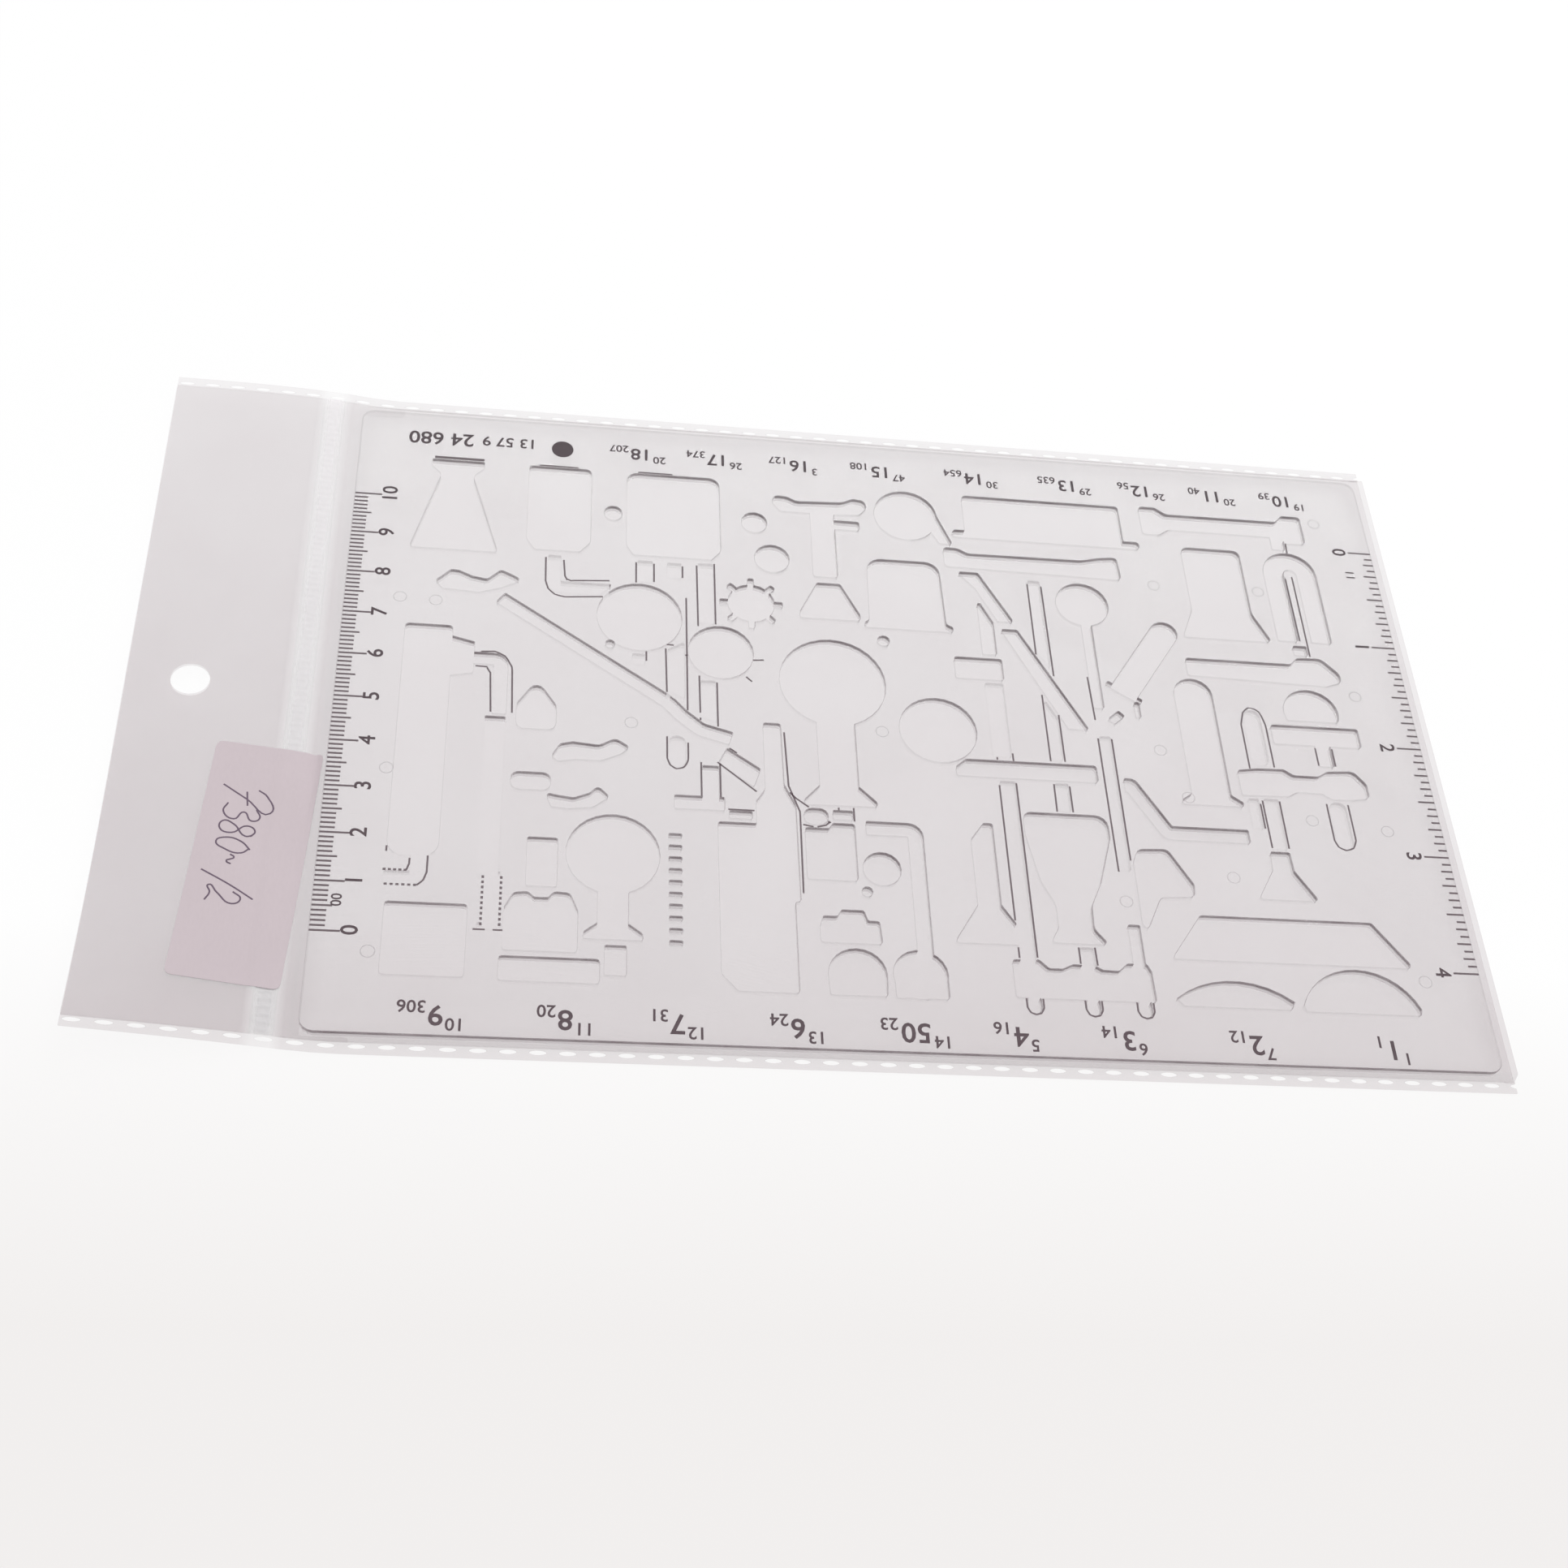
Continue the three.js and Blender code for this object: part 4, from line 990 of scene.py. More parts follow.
class STENCIL_OT_plate(bpy.types.Operator):
    """Builds the clear plate with its cut-outs, its chamfered upper edges, the painted shade on its cut walls
    and its ejector marks
    """

    bl_idname = "stencil.plate"
    bl_label = "Stencil plate"

    def execute(self, context):
        settings = context.scene.stencil_plate
        rims = plate_rims()
        flats = [set_back(rim, settings.chamfer * (-1 if k == 0 else 1)) for k, rim in enumerate(rims)]
        count = sum(len(rim) for rim in rims)
        points = [(u, v, PLATE_TOP) for rim in flats for u, v in rim]
        for z in (PLATE_TOP - settings.chamfer, PLATE_LOW.z / MM):
            points += [(u, v, z) for rim in rims for u, v in rim]
        faces = filled(flats, 0) + filled(rims, 2 * count)
        flat_faces = len(faces)
        start = 0
        for rim in rims:
            for k in range(len(rim)):
                a, b = start + k, start + (k + 1) % len(rim)
                for level in (0, count):
                    faces.append((a + level, b + level, b + level + count, a + level + count))
            start += len(rim)
        plate = make_object("clear_plate", points, faces, clear_plastic())
        plate.data.materials.append(cut_wall())
        for polygon in plate.data.polygons:
            polygon.material_index = 0 if polygon.index < flat_faces else 1
        shape = bmesh.new()
        shape.from_mesh(plate.data)
        bmesh.ops.recalc_face_normals(shape, faces=shape.faces)
        shape.to_mesh(plate.data)
        shape.free()
        self.keep_strengths(plate.data)
        finished(shade_smooth(plate, 30), "ruler", "stencil_plastic", "template_plate")
        self.ejector_marks(settings)
        return {"FINISHED"}

    def keep_strengths(self, mesh):
        """Gives every face the attribute that the walls' finish reads: how strongly the painted wall shade
        shows there.
        """
        strength = mesh.attributes.new("wall_strength", "FLOAT", "CORNER")
        for polygon in mesh.polygons:
            u, v = polygon.center.x / MM - ZERO_X, polygon.center.y / MM - ZERO_Y
            value = wall_strength(polygon.normal, u, v)
            for corner in polygon.loop_indices:
                strength.data[corner].value = value

    def ejector_marks(self, settings):
        cover = settings.mark_cover
        # Grey rims that paint the faint shade of the clear ejector marks
        faint = film_finish("ejector_mark", settings.mark, cover, front=0.03, rough=0.2, crease_mm=3)
        sizes = {"Diameter": settings.mark_diameter, "Height": settings.mark_height}
        middles = [(u, v, PLATE_TOP) for u, v in EJECTOR_MARKS]
        marks = grown_mesh("ejector_marks", ring_tree(), faint, sizes, middles)
        printed(moved_points(marks, lambda x, y, z: (x, y, z)))


# The inch scale's zero mark, the distance of all marks from the edges, and the lines of the numerals

INCH = 25.4
INCH_ZERO = 102.5
EDGE_GAP = 0.15
NUMERALS_LEFT = 1.8
NUMERALS_RIGHT = 197.5


class STENCIL_OT_scales(bpy.types.Operator):
    """Prints the centimetre scale on the left edge and the inch scale on the right edge"""

    bl_idname = "stencil.scales"
    bl_label = "Scales"

    def execute(self, context):
        settings = context.scene.stencil_print
        ink = ink_finish("scale_ink", settings.scale_ink, 0.45)
        centimetres = {
            "Count": 101, "Pitch": 1.0, "Length": 2.6, "Second every": 5, "Second adds": 0.9,
            "Third every": 10, "Third adds": 1.7,
        }
        inches = {
            "Count": 65, "Pitch": INCH / 16, "Length": 1.7, "Second every": 2, "Second adds": 0.5,
            "Third every": 4, "Third adds": 0.5, "Fourth every": 8, "Fourth adds": 0.6,
            "Fifth every": 16, "Fifth adds": 1.6, "Turn": math.pi,
        }
        for name, marks, left, near in (
            ("centimetre_marks", centimetres, PLATE_LEFT + EDGE_GAP, 0.0),
            ("inch_marks", inches, PLATE_RIGHT - EDGE_GAP, INCH_ZERO - 4 * INCH),
        ):
            marks.update(Width=settings.mark_width, Height=settings.thickness)
            row = grown_mesh(name, tick_tree(), ink, marks)
            printed(moved_points(row, lambda x, y, z: (x + left, y + near, z + PLATE_TOP)))
        height = settings.numeral_height
        items = [(str(n), NUMERALS_LEFT, 10.0 * n + 0.3, height, 90) for n in range(11)]
        items += [(str(n), NUMERALS_RIGHT, INCH_ZERO - INCH * n, height, -90) for n in range(5)]
        printed(text_mesh("scale_numerals", items))
        return {"FINISHED"}


# Edge numbers: (middle of the group, small first number, large number, small last number), read upside down

NEAR_NUMBERS = [
    (17.0, "10", "9", "306"), (38.5, "11", "8", "20"), (57.5, "12", "7", "31"), (78.0, "13", "6", "24"),
    (98.5, "14", "50", "23"), (117.0, "5", "4", "16"), (136.3, "6", "3", "14"), (159.5, "7", "2", "12"),
    (184.7, "1", "1", "1"),
]
FAR_NUMBERS = [
    (51.0, "20", "18", "207"), (66.7, "26", "17", "374"), (83.7, "3", "16", "127"),
    (100.7, "47", "15", "108"), (120.5, "30", "14", "654"), (140.5, "29", "13", "635"),
    (156.5, "26", "12", "56"), (172.0, "20", "11", "40"), (187.5, "19", "10", "39"),
]

# Each row of edge numbers: its groups, the line of its large numbers, and its size

NUMBER_ROWS = [(NEAR_NUMBERS, -15.3, 1.0), (FAR_NUMBERS, 116.0, 0.8)]

# Half the width of a figure as a share of its height, and how far the small numbers stand below and above, mm

LARGE_HALF = 0.38
SMALL_HALF = 0.36
FIRST_BELOW = 1.7
LAST_ABOVE = 1.5

# Single numbers beside the rows and scales, as items for text_mesh, and a plain disc

LONE_NUMBERS = [
    ("24 680", 10.8, 116.4, 3.4, 180), ("13 57 9", 24.4, 116.6, 2.6, 180), ("00", -0.9, 6.2, 1.9, 90),
    ("11", 198.8, 96.3, 1.9, -90),
]
DISC_U, DISC_V, DISC_RADIUS, DISC_SIDES = 35.1, 115.7, 2.2, 32


class STENCIL_OT_numbers(bpy.types.Operator):
    """Prints the rows of plain numbers along the near and far edges"""

    bl_idname = "stencil.numbers"
    bl_label = "Edge numbers"

    def execute(self, context):
        settings = context.scene.stencil_print
        small, large = settings.small_height, settings.large_height
        items = []
        for groups, base, ratio in NUMBER_ROWS:
            for centre, first, big, last in groups:
                half_big = LARGE_HALF * large * ratio * len(big)
                to_first = half_big + SMALL_HALF * small * ratio * len(first)
                to_last = half_big + SMALL_HALF * small * ratio * len(last)
                items.append((big, centre, base, large * ratio, 180))
                items.append((first, centre + to_first, base - FIRST_BELOW * ratio, small * ratio, 180))
                items.append((last, centre - to_last, base + LAST_ABOVE * ratio, small * ratio, 180))
        printed(text_mesh("edge_numbers", items + LONE_NUMBERS))
        turns = [k * math.tau / DISC_SIDES for k in range(DISC_SIDES)]
        disc = [
            (DISC_U + DISC_RADIUS * math.cos(turn), DISC_V + DISC_RADIUS * math.sin(turn), PLATE_TOP)
            for turn in turns
        ]
        points, faces = thicken(disc, [tuple(range(DISC_SIDES))], settings.thickness)
        printed(make_object("plain_disc", points, faces, number_ink()))
        return {"FINISHED"}


# Dark lines beside the narrow cut-outs, which paint the shade of their walls, and dotted rows: start, end,
# count

TUBE_WALL_SHADE_LINES = [
    [(32.9, 86.6), (33.0, 80.6), (33.5, 78.8), (34.7, 77.6), (36.4, 77.2), (44.2, 77.9)],
    [(35.3, 86.1), (35.6, 82.0), (36.1, 80.8), (37.3, 80.3), (45.0, 80.9)],
    [(50.8, 86.8), (50.8, 81.6)], [(53.4, 86.7), (53.4, 82.0)],
    [(59.1, 86.5), (59.1, 83.5)], [(59.3, 78.5), (59.3, 50.5)], [(56.2, 65.6), (56.4, 53.4)],
    [(62.4, 87.0), (62.5, 71.6)], [(65.3, 87.7), (65.3, 72.3)],
    [(51.4, 64.6), (51.4, 62.3)], [(59.0, 64.2), (60.5, 64.3)], [(72.5, 64.4), (74.6, 64.6)],
    [(44.3, 65.8), (45.8, 66.4)], [(71.1, 59.9), (72.2, 58.8)], [(56.0, 66.6), (57.8, 66.5)],
    [(62.7, 59.5), (62.8, 47.8)], [(65.5, 58.1), (65.5, 47.7)],
    [(56.5, 44.8), (56.5, 39.8), (57.0, 38.5), (57.9, 38.0), (58.8, 38.5), (59.3, 39.8), (59.3, 43.6)],
    [(62.3, 39.3), (62.3, 31.7)], [(65.6, 39.2), (65.6, 31.7)],
    [(67.1, 42.3), (74.0, 37.1)], [(65.3, 39.6), (72.4, 33.4)],
    [(65.8, 29.0), (71.8, 29.0)], [(65.7, 25.2), (72.4, 25.3)],
    [(77.2, 47.2), (77.6, 34.9), (79.5, 29.2), (79.4, 11.8)],
    [(78.2, 34.0), (79.6, 32.4), (81.5, 30.9), (82.8, 29.9)],
    [(80.5, 25.9), (82.9, 25.4), (85.1, 26.0), (86.2, 26.9), (86.0, 28.2), (85.0, 29.3), (83.1, 30.0)],
    [(87.4, 30.7), (87.4, 27.7)], [(89.8, 30.8), (89.8, 27.8)],
    [(129.0, 87.9), (128.9, 68.6)], [(131.3, 87.5), (131.4, 64.6)],
    [(129.2, 59.8), (129.2, 42.2)], [(131.6, 55.7), (131.6, 42.2)],
    [(138.9, 64.9), (139.2, 54.4)],
    [(118.5, 45.4), (118.5, 42.4)], [(121.4, 45.3), (121.4, 42.3)],
    [(129.2, 38.6), (129.1, 31.2)], [(131.7, 38.3), (131.7, 31.2)],
    [(118.5, 37.7), (118.5, 6.3)], [(121.5, 38.4), (121.5, 0.5)],
    [(139.1, 50.0), (139.2, 19.6)], [(141.4, 50.0), (141.4, 22.2)],
    [(118.5, 2.5), (118.5, -0.8)], [(129.6, 3.0), (129.6, -1.5)], [(132.0, 3.1), (132.1, -1.7)],
    [(184.1, 94.1), (184.2, 77.5)], [(185.9, 94.7), (185.9, 73.0)], [(185.6, 106.1), (185.3, 100.0)],
    [(169.1, 44.8), (169.1, 55.4), (169.9, 58.2), (171.0, 59.1), (172.1, 58.2), (172.7, 55.4), (172.7, 44.8)],
    [(182.7, 46.4), (182.7, 50.6)], [(185.9, 46.4), (185.9, 50.6)],
    [(169.7, 37.4), (169.8, 26.6)], [(172.9, 37.4), (172.9, 26.6)], [(169.0, 36.6), (169.0, 30.9)],
    [(182.8, 37.4), (182.8, 29.0), (183.3, 27.7), (184.5, 27.2), (185.7, 27.8), (186.3, 29.3), (186.3, 37.4)],
    [(11.0, 17.2), (11.0, 14.2), (10.6, 12.9)], [(13.7, 17.2), (13.7, 12.6), (13.2, 11.0), (12.2, 10.0)],
    [(7.4, 24.9), (7.4, 16.6)], [(22.3, 1.7), (24.4, 1.7)], [(25.7, 1.7), (27.4, 1.7)],
    [(20.1, 61.4), (23.7, 61.7), (25.2, 60.8), (26.3, 58.6), (26.6, 48.2)],
    [(20.2, 59.0), (22.4, 58.9), (23.3, 57.3), (23.7, 48.2)],
    [(9.8, 110.95), (19.6, 110.95)], [(9.8, 111.25), (19.6, 111.25)], [(30.6, 110.9), (38.4, 110.9)],
    [(50.4, 110.9), (57.4, 110.9)],
]
# U-shaped lines that paint the shade of the walls round the rounded ends of three short slots
HOOK = [(-1.4, -7.2), (-1.4, -9.6), (-0.9, -10.6), (0.0, -10.9), (0.9, -10.6), (1.4, -9.6), (1.4, -7.2)]
TUBE_WALL_SHADE_LINES += [[(middle + u, v) for u, v in HOOK] for middle in (120.2, 130.8, 140.2)]
DOTTED_ROWS = [
    ((6.6, 12.9), (10.2, 12.9), 5), ((7.0, 9.9), (12.0, 9.9), 6), ((23.6, 12.2), (23.6, 2.6), 10),
    ((26.8, 12.2), (26.8, 2.6), 10),
]
DOT_WIDTH = 0.55
DOT_LENGTH = 0.45
DOT_MIDDLE = 0.2

# How far a line may be moved sideways, so that most of it lies on the plate, and how finely it is cut up, mm

MOVES = [0.0, 0.1, -0.1, 0.2, -0.2, 0.3, -0.3, 0.4, -0.4, 0.55, -0.55, 0.7, -0.7]
CUT_STEP = 0.6


def sized(strips):
    """How much of a line lies on the plate."""
    return sum(len(strip) for strip in strips)


class STENCIL_OT_lines(bpy.types.Operator):
    """Prints the dark lines that paint the shade of the narrow cut-outs' walls, and the dotted rows beside
    them, wherever the plate is under them
    """

    bl_idname = "stencil.lines"
    bl_label = "Thin lines"

    def execute(self, context):
        settings = context.scene.stencil_print
        ink = ink_finish("line_ink", settings.line_ink, 0.45)
        plate = frame["nodes"]["template_plate"].data
        solid = BVHTree.FromPolygons([vertex.co for vertex in plate.vertices], faces_of(plate))

        def on_plate(u, v):
            above = Vector(in_metres(u, v, PLATE_TOP + 0.5))
            return solid.ray_cast(above, Vector((0, 0, -1)), MM)[0] is not None

        points, faces = [], []
        for path in TUBE_WALL_SHADE_LINES:
            tries = [self.strips(path, settings.line_width / 2, move, on_plate) for move in MOVES]
            for strip in max(tries, key=sized):
                start = len(points)
                points += [(u, v, PLATE_TOP) for pair in strip for u, v in pair]
                faces += [(k, k + 1, k + 3, k + 2) for k in range(start, start + 2 * len(strip) - 2, 2)]
        points, faces = thicken(points, upward(points, faces), settings.thickness)
        # A mesh of dark lines that paints the shade of the narrow cut-outs' walls
        printed(make_object("tube_wall_shade_lines", points, faces, ink))
        self.dotted_rows(settings, ink)
        return {"FINISHED"}

    def strips(self, path, half, move, on_plate):
        """Cuts one line, moved sideways, into the runs that lie on the plate."""
        pairs = []
        for (au, av), (bu, bv) in zip(path, path[1:]):
            run = math.hypot(bu - au, bv - av)
            side_u, side_v = (bv - av) / run, (au - bu) / run
            steps = max(1, math.ceil(run / CUT_STEP))
            for k in range(1 if pairs else 0, steps + 1):
                u = au + (bu - au) * k / steps + side_u * move
                v = av + (bv - av) * k / steps + side_v * move
                pairs.append(((u - side_u * half, v - side_v * half), (u + side_u * half, v + side_v * half)))
        runs, run = [], []
        for pair in pairs:
            if all(on_plate(*end) for end in pair):
                run.append(pair)
                continue
            runs.append(run)
            run = []
        return [r for r in (*runs, run) if len(r) > 1]

    def dotted_rows(self, settings, ink):
        for k, ((au, av), (bu, bv), count) in enumerate(DOTTED_ROWS):
            run = math.hypot(bu - au, bv - av)
            along_u, along_v = (bu - au) / run, (bv - av) / run
            dots = {
                "Count": count, "Pitch": run / (count - 1), "Width": DOT_WIDTH, "Length": DOT_LENGTH,
                "Height": settings.thickness,
            }

            def place(x, y, z):
                side = x - DOT_MIDDLE
                return au + along_u * y + along_v * side, av + along_v * y - along_u * side, z + PLATE_TOP

            row = grown_mesh(f"dotted_row_{k + 1}", tick_tree(), ink, dots)
            printed(moved_points(row, place))


class STENCIL_OT_films(bpy.types.Operator):
    """Builds the front and back films, each in one piece from the header's free edge to the open end"""

    bl_idname = "stencil.films"
    bl_label = "Films"

    def execute(self, context):
        settings = context.scene.stencil_sleeve
        cover, front = settings.film_cover, settings.film_front
        film = film_finish("clear_film", settings.film, cover, front, rough=0.12, crease_mm=9)
        for name, under, nodes in (
            ("back_film", back_film_under, ("sleeve_back_film", "header_back_ply")),
            ("front_film", front_film_under, ("sleeve_front_film", "header_front_ply")),
        ):
            points, faces = film_sheet(under)
            points, faces = thicken(points, faces, settings.film_thickness)
            made = shade_smooth(make_object(name, points, faces, film), 35)
            bent(made, "sleeve_film", *nodes)
        return {"FINISHED"}


# The first slot's distance from the fold, and how far the seams lie above the back film's underside, mm

FIRST_SLOT = 6.5
SEAM_LIFT = 0.08


class STENCIL_OT_seams(bpy.types.Operator):
    """Builds the perforated side seams"""

    bl_idname = "stencil.seams"
    bl_label = "Side seams"

    def execute(self, context):
        settings = context.scene.stencil_sleeve
        cover, front = settings.seam_cover, settings.seam_front
        fused = film_finish("hot_cut_seam", settings.film, cover, front, rough=0.25, crease_mm=5)
        tree = perforation_tree()
        pitch = settings.slot_pitch
        first = FOLD + FIRST_SLOT - 0.5 * pitch
        start = first - math.ceil((first - HEADER_LEFT) / pitch) * pitch
        sizes = {
            "Count": math.ceil((OPEN_END - start) / pitch), "Pitch": pitch, "Width": NEAR_INNER - NEAR_EDGE,
            "Slot length": settings.slot_length, "Slot width": settings.slot_width,
            "Slot from edge": settings.slot_from_edge,
        }
        for name, outer, way, nodes in (
            ("near_seam", NEAR_EDGE, 1, ("sleeve_near_weld", "header_near_weld")),
            ("far_seam", FAR_EDGE, -1, ("sleeve_far_weld", "header_far_weld")),
        ):
            strip, sheet = taken_apart(grown_mesh(name, tree, fused, sizes))
            flat = [
                (clamp(x + start + pitch / 2, HEADER_LEFT, OPEN_END), outer + way * y) for x, y, _ in strip
            ]
            points = [(u, v, seam_under(u, v) + SEAM_LIFT) for u, v in flat]
            faces = [face for face in sheet if abs(area([flat[k] for k in face])) > 1e-6]
            points, faces = used_only(points, faces)
            points, faces = thicken(points, upward(points, faces), settings.seam_thickness)
            bent(make_object(name, points, faces, fused), "fused_film", *nodes)
        return {"FINISHED"}


# How far the band lies above the front ply's underside, and how thick it is, mm

BAND_LIFT = 0.16
BAND_THICKNESS = 0.05

# How much the ribs fade towards the far side, and between which places

RIB_FADE = 0.6
FADE_START, FADE_END = -5, 50


class STENCIL_OT_band(bpy.types.Operator):
    """Builds the crimped seal band between header and sleeve"""

    bl_idname = "stencil.band"
    bl_label = "Seal band"

    def execute(self, context):
        settings = context.scene.stencil_header
        crimped = band_finish()
        sizes = {
            "Width": BAND_RIGHT - BAND_LEFT, "Length": FAR_INNER - NEAR_INNER,
            "Pitch": settings.rib_pitch, "Height": settings.rib_height,
        }
        flat, faces = taken_apart(grown_mesh("seal_band", rib_tree(), crimped, sizes))
        centre_u, centre_v = (BAND_LEFT + BAND_RIGHT) / 2, (NEAR_INNER + FAR_INNER) / 2
        points = []
        for x, y, rise in flat:
            u, v = x + centre_u, y + centre_v
            rib = rise * (1 - RIB_FADE * smooth(FADE_START, FADE_END, v))
            points.append((u, v, header_under(u, v) + PLY_STEP + BAND_LIFT + header_wave(u, v) + rib))
        points, faces = thicken(points, upward(points, faces), BAND_THICKNESS)
        made = shade_smooth(make_object("seal_band", points, faces, crimped), 60)
        finished(made, "header", "crimped_film", "header_seal_band")
        return {"FINISHED"}


# Pen strokes in a box one unit high and half a unit wide: along the writing, and down from its top

STROKES = {
    "0": [[(0.3, 0.02), (0.08, 0.3), (0.05, 0.75), (0.25, 1.0), (0.46, 0.72), (0.48, 0.25), (0.26, 0.04)]],
    "2": [[(0.05, 0.25), (0.25, 0.0), (0.48, 0.22), (0.2, 0.7), (0.0, 0.98), (0.25, 0.9), (0.56, 1.0)]],
    "3": [[(0.03, 0.12), (0.3, 0.0), (0.44, 0.2), (0.2, 0.44), (0.5, 0.66), (0.32, 0.98), (0.0, 0.9)]],
    "7": [[(0.0, 0.3), (0.1, 0.12), (0.5, 0.0), (0.28, 0.5), (0.04, 1.0)], [(0.1, 0.52), (0.44, 0.46)]],
    "8": [[(0.42, 0.1), (0.2, 0.0), (0.08, 0.24), (0.42, 0.62), (0.36, 0.96), (0.08, 0.92), (0.12, 0.6),
           (0.44, 0.24), (0.36, 0.04)]],
    "~": [[(0.0, 0.6), (0.12, 0.42), (0.25, 0.55), (0.38, 0.7), (0.5, 0.5)]],
    "/": [[(0.5, 0.0), (0.3, 0.45), (0.1, 1.0)]],
}

# Each pen mark: its sign, its start along the label, its height, and its foot across the label, mm

PEN_MARKS = [
    ("7", 15.4, 8.8, -6.6), ("3", 11.4, 6.4, -5.8), ("8", 8.0, 6.2, -5.9), ("0", 4.6, 6.0, -5.8),
    ("~", 1.0, 4.0, -4.6), ("/", -2.0, 9.4, -7.2), ("2", -5.8, 5.8, -5.6),
]

# The label's height above the front film's underside, and its rise and its slope's length at the band, mm

LABEL_LIFT = 0.17
OVER_BAND = 0.22
BAND_SLOPE = 1.2

# The squares of the label's grid across it and along it

LABEL_COLUMNS, LABEL_ROWS = 26, 60

# How wide and how flat the writing is, how much it leans, and the height of its middle above the label, mm

PEN_WIDTH = 0.95
PEN_FLATNESS = 0.2
LEAN = 0.12
PEN_LIFT = 0.02


class STENCIL_OT_label(bpy.types.Operator):
    """Builds the paper label with its pen strokes"""

    bl_idname = "stencil.label"
    bl_label = "Label"

    def execute(self, context):
        settings = context.scene.stencil_label
        paper = paper_finish()
        centre_u, centre_v = FOLD - settings.from_fold, MIDDLE + settings.off_middle
        turn = math.radians(settings.turn)

        def on_label(across, along):
            u = centre_u + across * math.cos(turn) - along * math.sin(turn)
            v = centre_v + across * math.sin(turn) + along * math.cos(turn)
            return u, v

        def under(u, v):
            rise = smooth(BAND_LEFT - BAND_SLOPE, BAND_LEFT, u)
            fall = smooth(BAND_RIGHT + BAND_SLOPE, BAND_RIGHT, u)
            return front_film_under(u, v) + LABEL_LIFT + OVER_BAND * (rise * fall)

        points = []
        for i in range(LABEL_COLUMNS + 1):
            for j in range(LABEL_ROWS + 1):
                across = settings.label_width * (i / LABEL_COLUMNS - 0.5)
                along = settings.label_length * (j / LABEL_ROWS - 0.5)
                u, v = on_label(*self.rounded(across, along, settings))
                points.append((u, v, under(u, v)))
        step = LABEL_ROWS + 1
        starts = [i * step + j for i in range(LABEL_COLUMNS) for j in range(LABEL_ROWS)]
        faces = [(a, a + step, a + step + 1, a + 1) for a in starts]
        points, faces = thicken(points, faces, settings.thickness)
        label = shade_smooth(make_object("price_label_paper", points, faces, paper), 40)
        bent(label, "label_paper", "price_label")
        self.pen_strokes(settings, on_label, under)
        return {"FINISHED"}

    def rounded(self, across, along, settings):
        """Draws a point in a corner of the label's grid into the round of that corner."""
        inner_a = settings.label_width / 2 - settings.corner
        inner_b = settings.label_length / 2 - settings.corner
        over_a, over_b = abs(across) - inner_a, abs(along) - inner_b
        if over_a <= 0 or over_b <= 0:
            return across, along
        share_kept = max(over_a, over_b) / math.hypot(over_a, over_b)
        across = math.copysign(inner_a + over_a * share_kept, across)
        return across, math.copysign(inner_b + over_b * share_kept, along)

    def pen_strokes(self, settings, on_label, under):
        ink = ink_finish("pen_ink", settings.pen, 0.5)
        curve = bpy.data.curves.new("pen_strokes", "CURVE")
        curve.dimensions = "3D"
        curve.bevel_depth = settings.stroke / 2
        curve.bevel_resolution = 1
        curve.use_fill_caps = True
        curve.resolution_u = 6
        strokes = [(mark, stroke) for mark in PEN_MARKS for stroke in STROKES[mark[0]]]
        for (_, along, height, foot), stroke in strokes:
            spline = curve.splines.new("BEZIER")
            spline.bezier_points.add(len(stroke) - 1)
            for point, (x, y) in zip(spline.bezier_points, stroke):
                lean = LEAN * height * (1 - y)
                point.co = (along - x * height * PEN_WIDTH - lean, foot + (1 - y) * height, 0.0)
                point.handle_left_type = point.handle_right_type = "AUTO"
        drawn, faces = taken_apart(linked("pen_strokes", curve))
        points = []
        for x, y, z in drawn:
            u, v = on_label(y, x)
            points.append((u, v, under(u, v) + settings.thickness + PEN_LIFT + z * PEN_FLATNESS))
        made = make_object("pen_strokes", points, [tuple(reversed(face)) for face in faces], ink)
        finished(made, "header", "label_paper")


# The stage, in metres and degrees

CAMERA_PLACE = (-0.0590, -0.24155, 0.3168)
CAMERA_TURN = (35.4357, -8.2162, -2.1547)
LAMP_PLACE = (0.35, 0.75, 1.1)
LAMP_SIZE = 0.9
FLOOR_HALF = 1.6

# How fast the painted light under the plate rises from the plate's edge, per metre

GLOW_RISE = 300.0


def background_rays(graph):
    """1 for the rays that show the plain background, 0 for those that only light the object."""
    rays = graph.node("ShaderNodeLightPath")
    kinds = ("Is Camera Ray", "Is Glossy Ray", "Is Transmission Ray")
    camera, glossy, passing = (Value(graph, rays.outputs[kind]) for kind in kinds)
    return camera.math("MAXIMUM", glossy).math("MAXIMUM", passing)


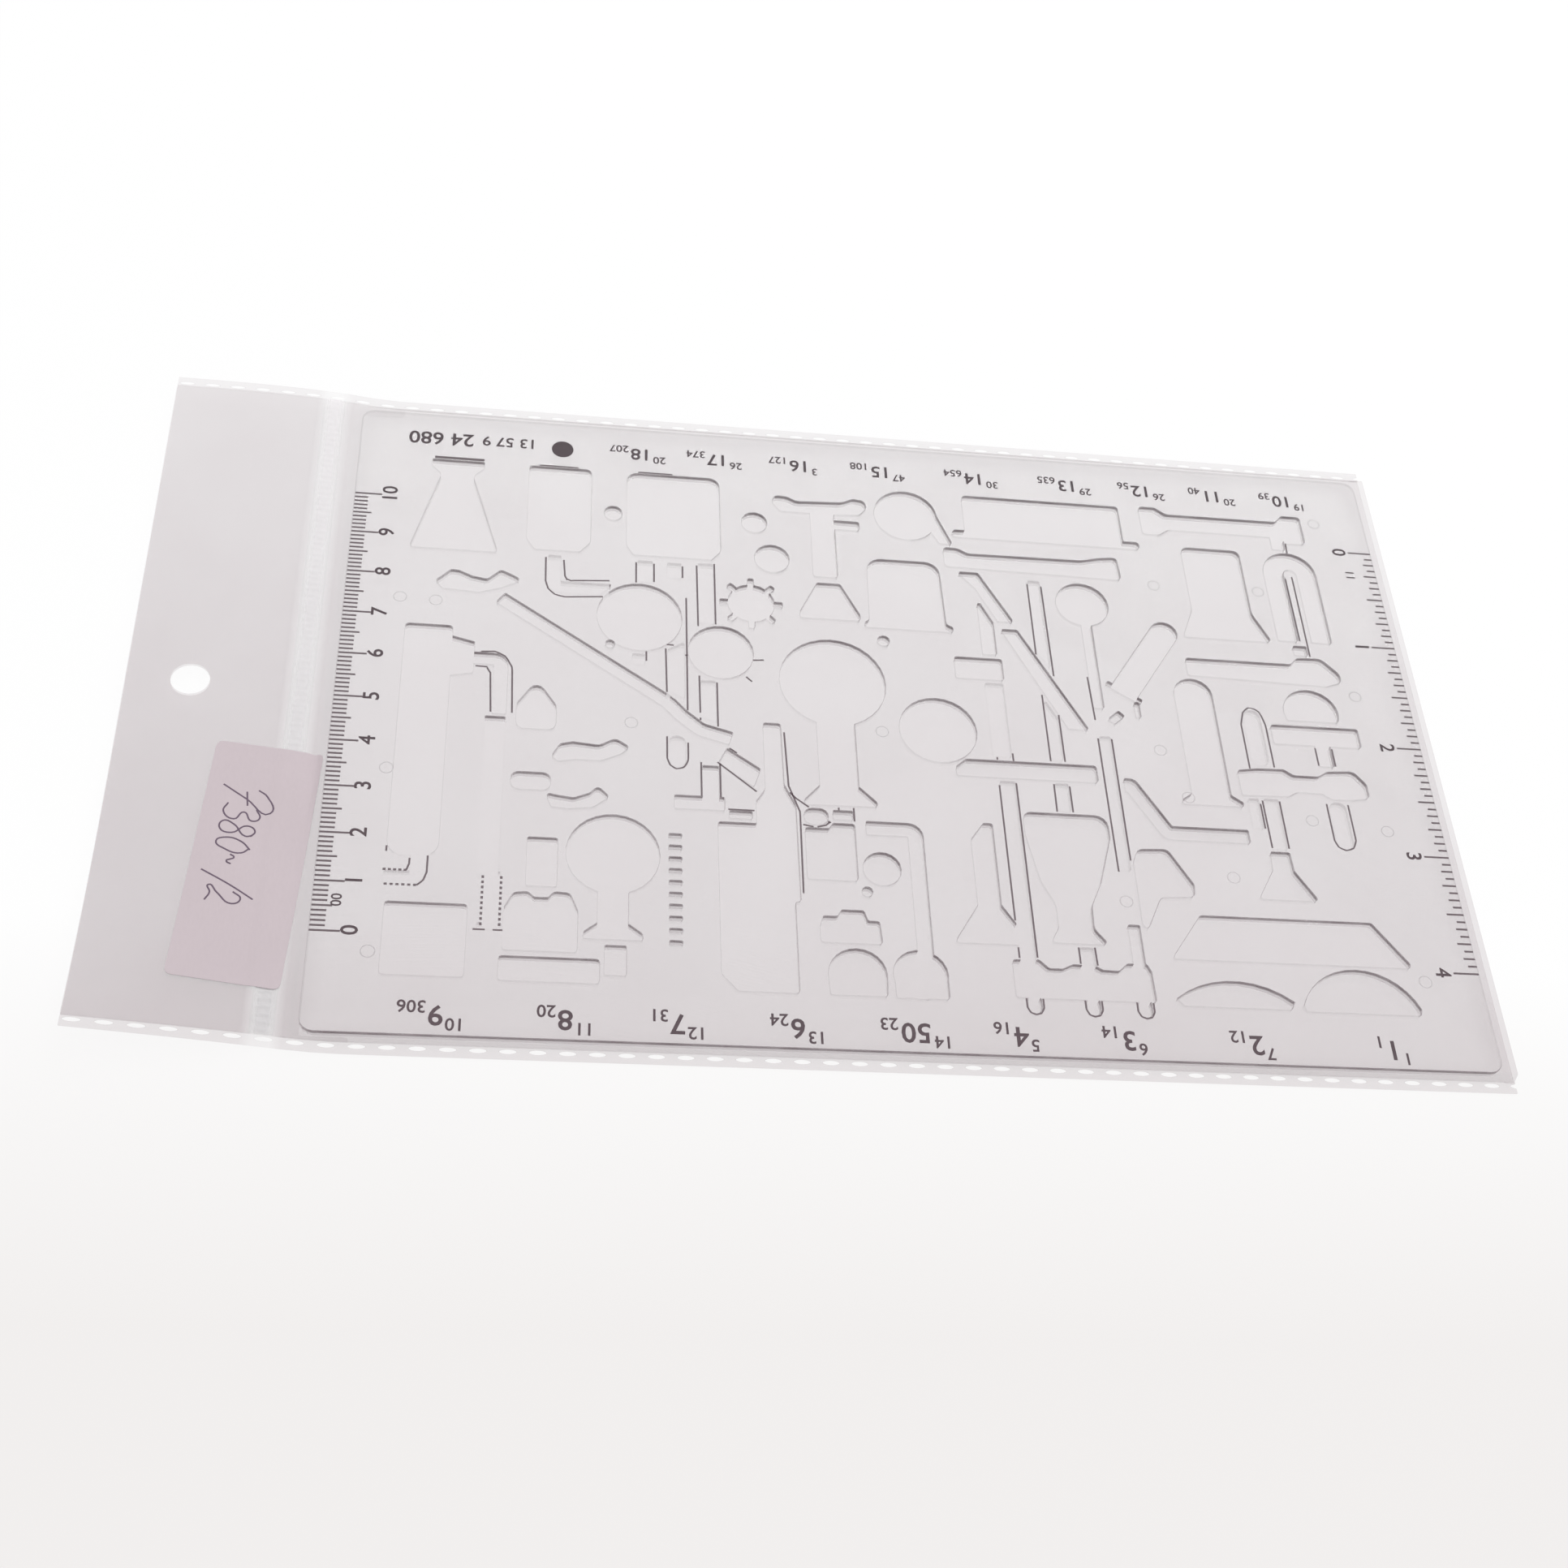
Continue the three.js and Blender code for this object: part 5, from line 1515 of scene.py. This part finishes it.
class STENCIL_OT_stage(bpy.types.Operator):
    """Lays the floor and sets the lamp, the even light and the camera"""

    bl_idname = "stencil.stage"
    bl_label = "Stage"

    def execute(self, context):
        settings = context.scene.stencil_stage
        self.floor(settings)
        self.lights(context, settings)
        camera = linked("camera", bpy.data.cameras.new("camera"))
        camera.location = CAMERA_PLACE
        camera.rotation_euler = Euler([math.radians(angle) for angle in CAMERA_TURN], "XYZ")
        camera.data.lens = settings.lens
        camera.data.sensor_width = 36.0
        camera.data.clip_start = 0.01
        context.scene.camera = camera
        context.scene.view_settings.view_transform = "Standard"
        return {"FINISHED"}

    def floor(self, settings):
        """A pale floor that glows so as to show its own tone, and glows a little more under the clear plate:
        painted light that lifts the plate's shadow there.
        """
        finish = Finish("pale_floor")
        x, y, _ = finish.axes(finish.place)
        middle, half = (PLATE_LOW + PLATE_HIGH) / 2, (PLATE_HIGH - PLATE_LOW) / 2
        in_x = (half.x - (x - middle.x).math("ABSOLUTE")) * GLOW_RISE
        in_y = (half.y - (y - middle.y).math("ABSOLUTE")) * GLOW_RISE
        # The extra glow under the plate is painted light over its shadow
        glow = in_x.clamped() * in_y.clamped() * settings.under_glow + settings.floor_glow
        # The front tone starts 50 mm before the origin, is full at 121 mm, and goes between 360 and 760 mm
        far_off = (y * -2.5 - 0.9).clamped()
        to_front = (y * -14.0 - 0.7).clamped() * (1 - far_off)
        tone = finish.mix(to_front, tuple(settings.floor), tuple(settings.warm))
        plain = finish.node("ShaderNodeBsdfDiffuse", {}, {"Color": tone})
        bright = finish.node("ShaderNodeEmission", {}, {"Color": tone, "Strength": 1.0})
        shown = background_rays(finish) * glow
        both = finish.node("ShaderNodeMixShader", {}, {0: shown, 1: plain, 2: bright})
        finish.node("ShaderNodeOutputMaterial", {}, {"Surface": both})
        reach = FLOOR_HALF / MM
        corners = [(-reach, -reach, 0.0), (reach, -reach, 0.0), (reach, reach, 0.0), (-reach, reach, 0.0)]
        make_object("floor", corners, [(0, 1, 2, 3)], finish.material)

    def lights(self, context, settings):
        world = bpy.data.worlds.new("even_light")
        world.use_nodes = True
        graph = Graph(world.node_tree)
        world.node_tree.nodes.clear()
        strength = background_rays(graph) * (1 - settings.fill) + settings.fill
        back = graph.node("ShaderNodeBackground", {}, {"Color": (1.0, 1.0, 1.0, 1.0), "Strength": strength})
        graph.node("ShaderNodeOutputWorld", {}, {"Surface": back})
        context.scene.world = world
        lamp = bpy.data.lights.new("key", "AREA")
        lamp.energy = settings.key
        lamp.size = LAMP_SIZE
        key = linked("key", lamp)
        key.visible_glossy = False
        key.visible_transmission = False
        key.location = LAMP_PLACE
        key.rotation_euler = (-key.location).to_track_quat("-Z", "Y").to_euler()


class STENCIL_PT_panel(bpy.types.Panel):
    """Lists the steps and their settings"""

    bl_idname = "STENCIL_PT_panel"
    bl_label = "Stencil ruler"
    bl_space_type = "VIEW_3D"
    bl_region_type = "UI"
    bl_category = "Stencil"

    def draw(self, context):
        for operator in OPERATORS:
            self.layout.operator(operator.bl_idname)
        for name, group in GROUPS.items():
            box = self.layout.box()
            box.label(text=name.replace("_", " "))
            for key in group.__annotations__:
                box.prop(getattr(context.scene, name), key)


OPERATORS = (
    STENCIL_OT_plate,
    STENCIL_OT_scales,
    STENCIL_OT_numbers,
    STENCIL_OT_lines,
    STENCIL_OT_films,
    STENCIL_OT_seams,
    STENCIL_OT_band,
    STENCIL_OT_label,
    STENCIL_OT_stage,
)


def register():
    for name, group in GROUPS.items():
        bpy.utils.register_class(group)
        setattr(bpy.types.Scene, name, PointerProperty(type=group))
    for item in (*OPERATORS, STENCIL_PT_panel):
        bpy.utils.register_class(item)


def unregister():
    for item in (STENCIL_PT_panel, *reversed(OPERATORS)):
        bpy.utils.unregister_class(item)
    for name, group in GROUPS.items():
        delattr(bpy.types.Scene, name)
        bpy.utils.unregister_class(group)


def main():
    register()
    for operator in OPERATORS:
        family, step = operator.bl_idname.split(".")
        getattr(getattr(bpy.ops, family), step)()


if __name__ == "__main__":
    main()
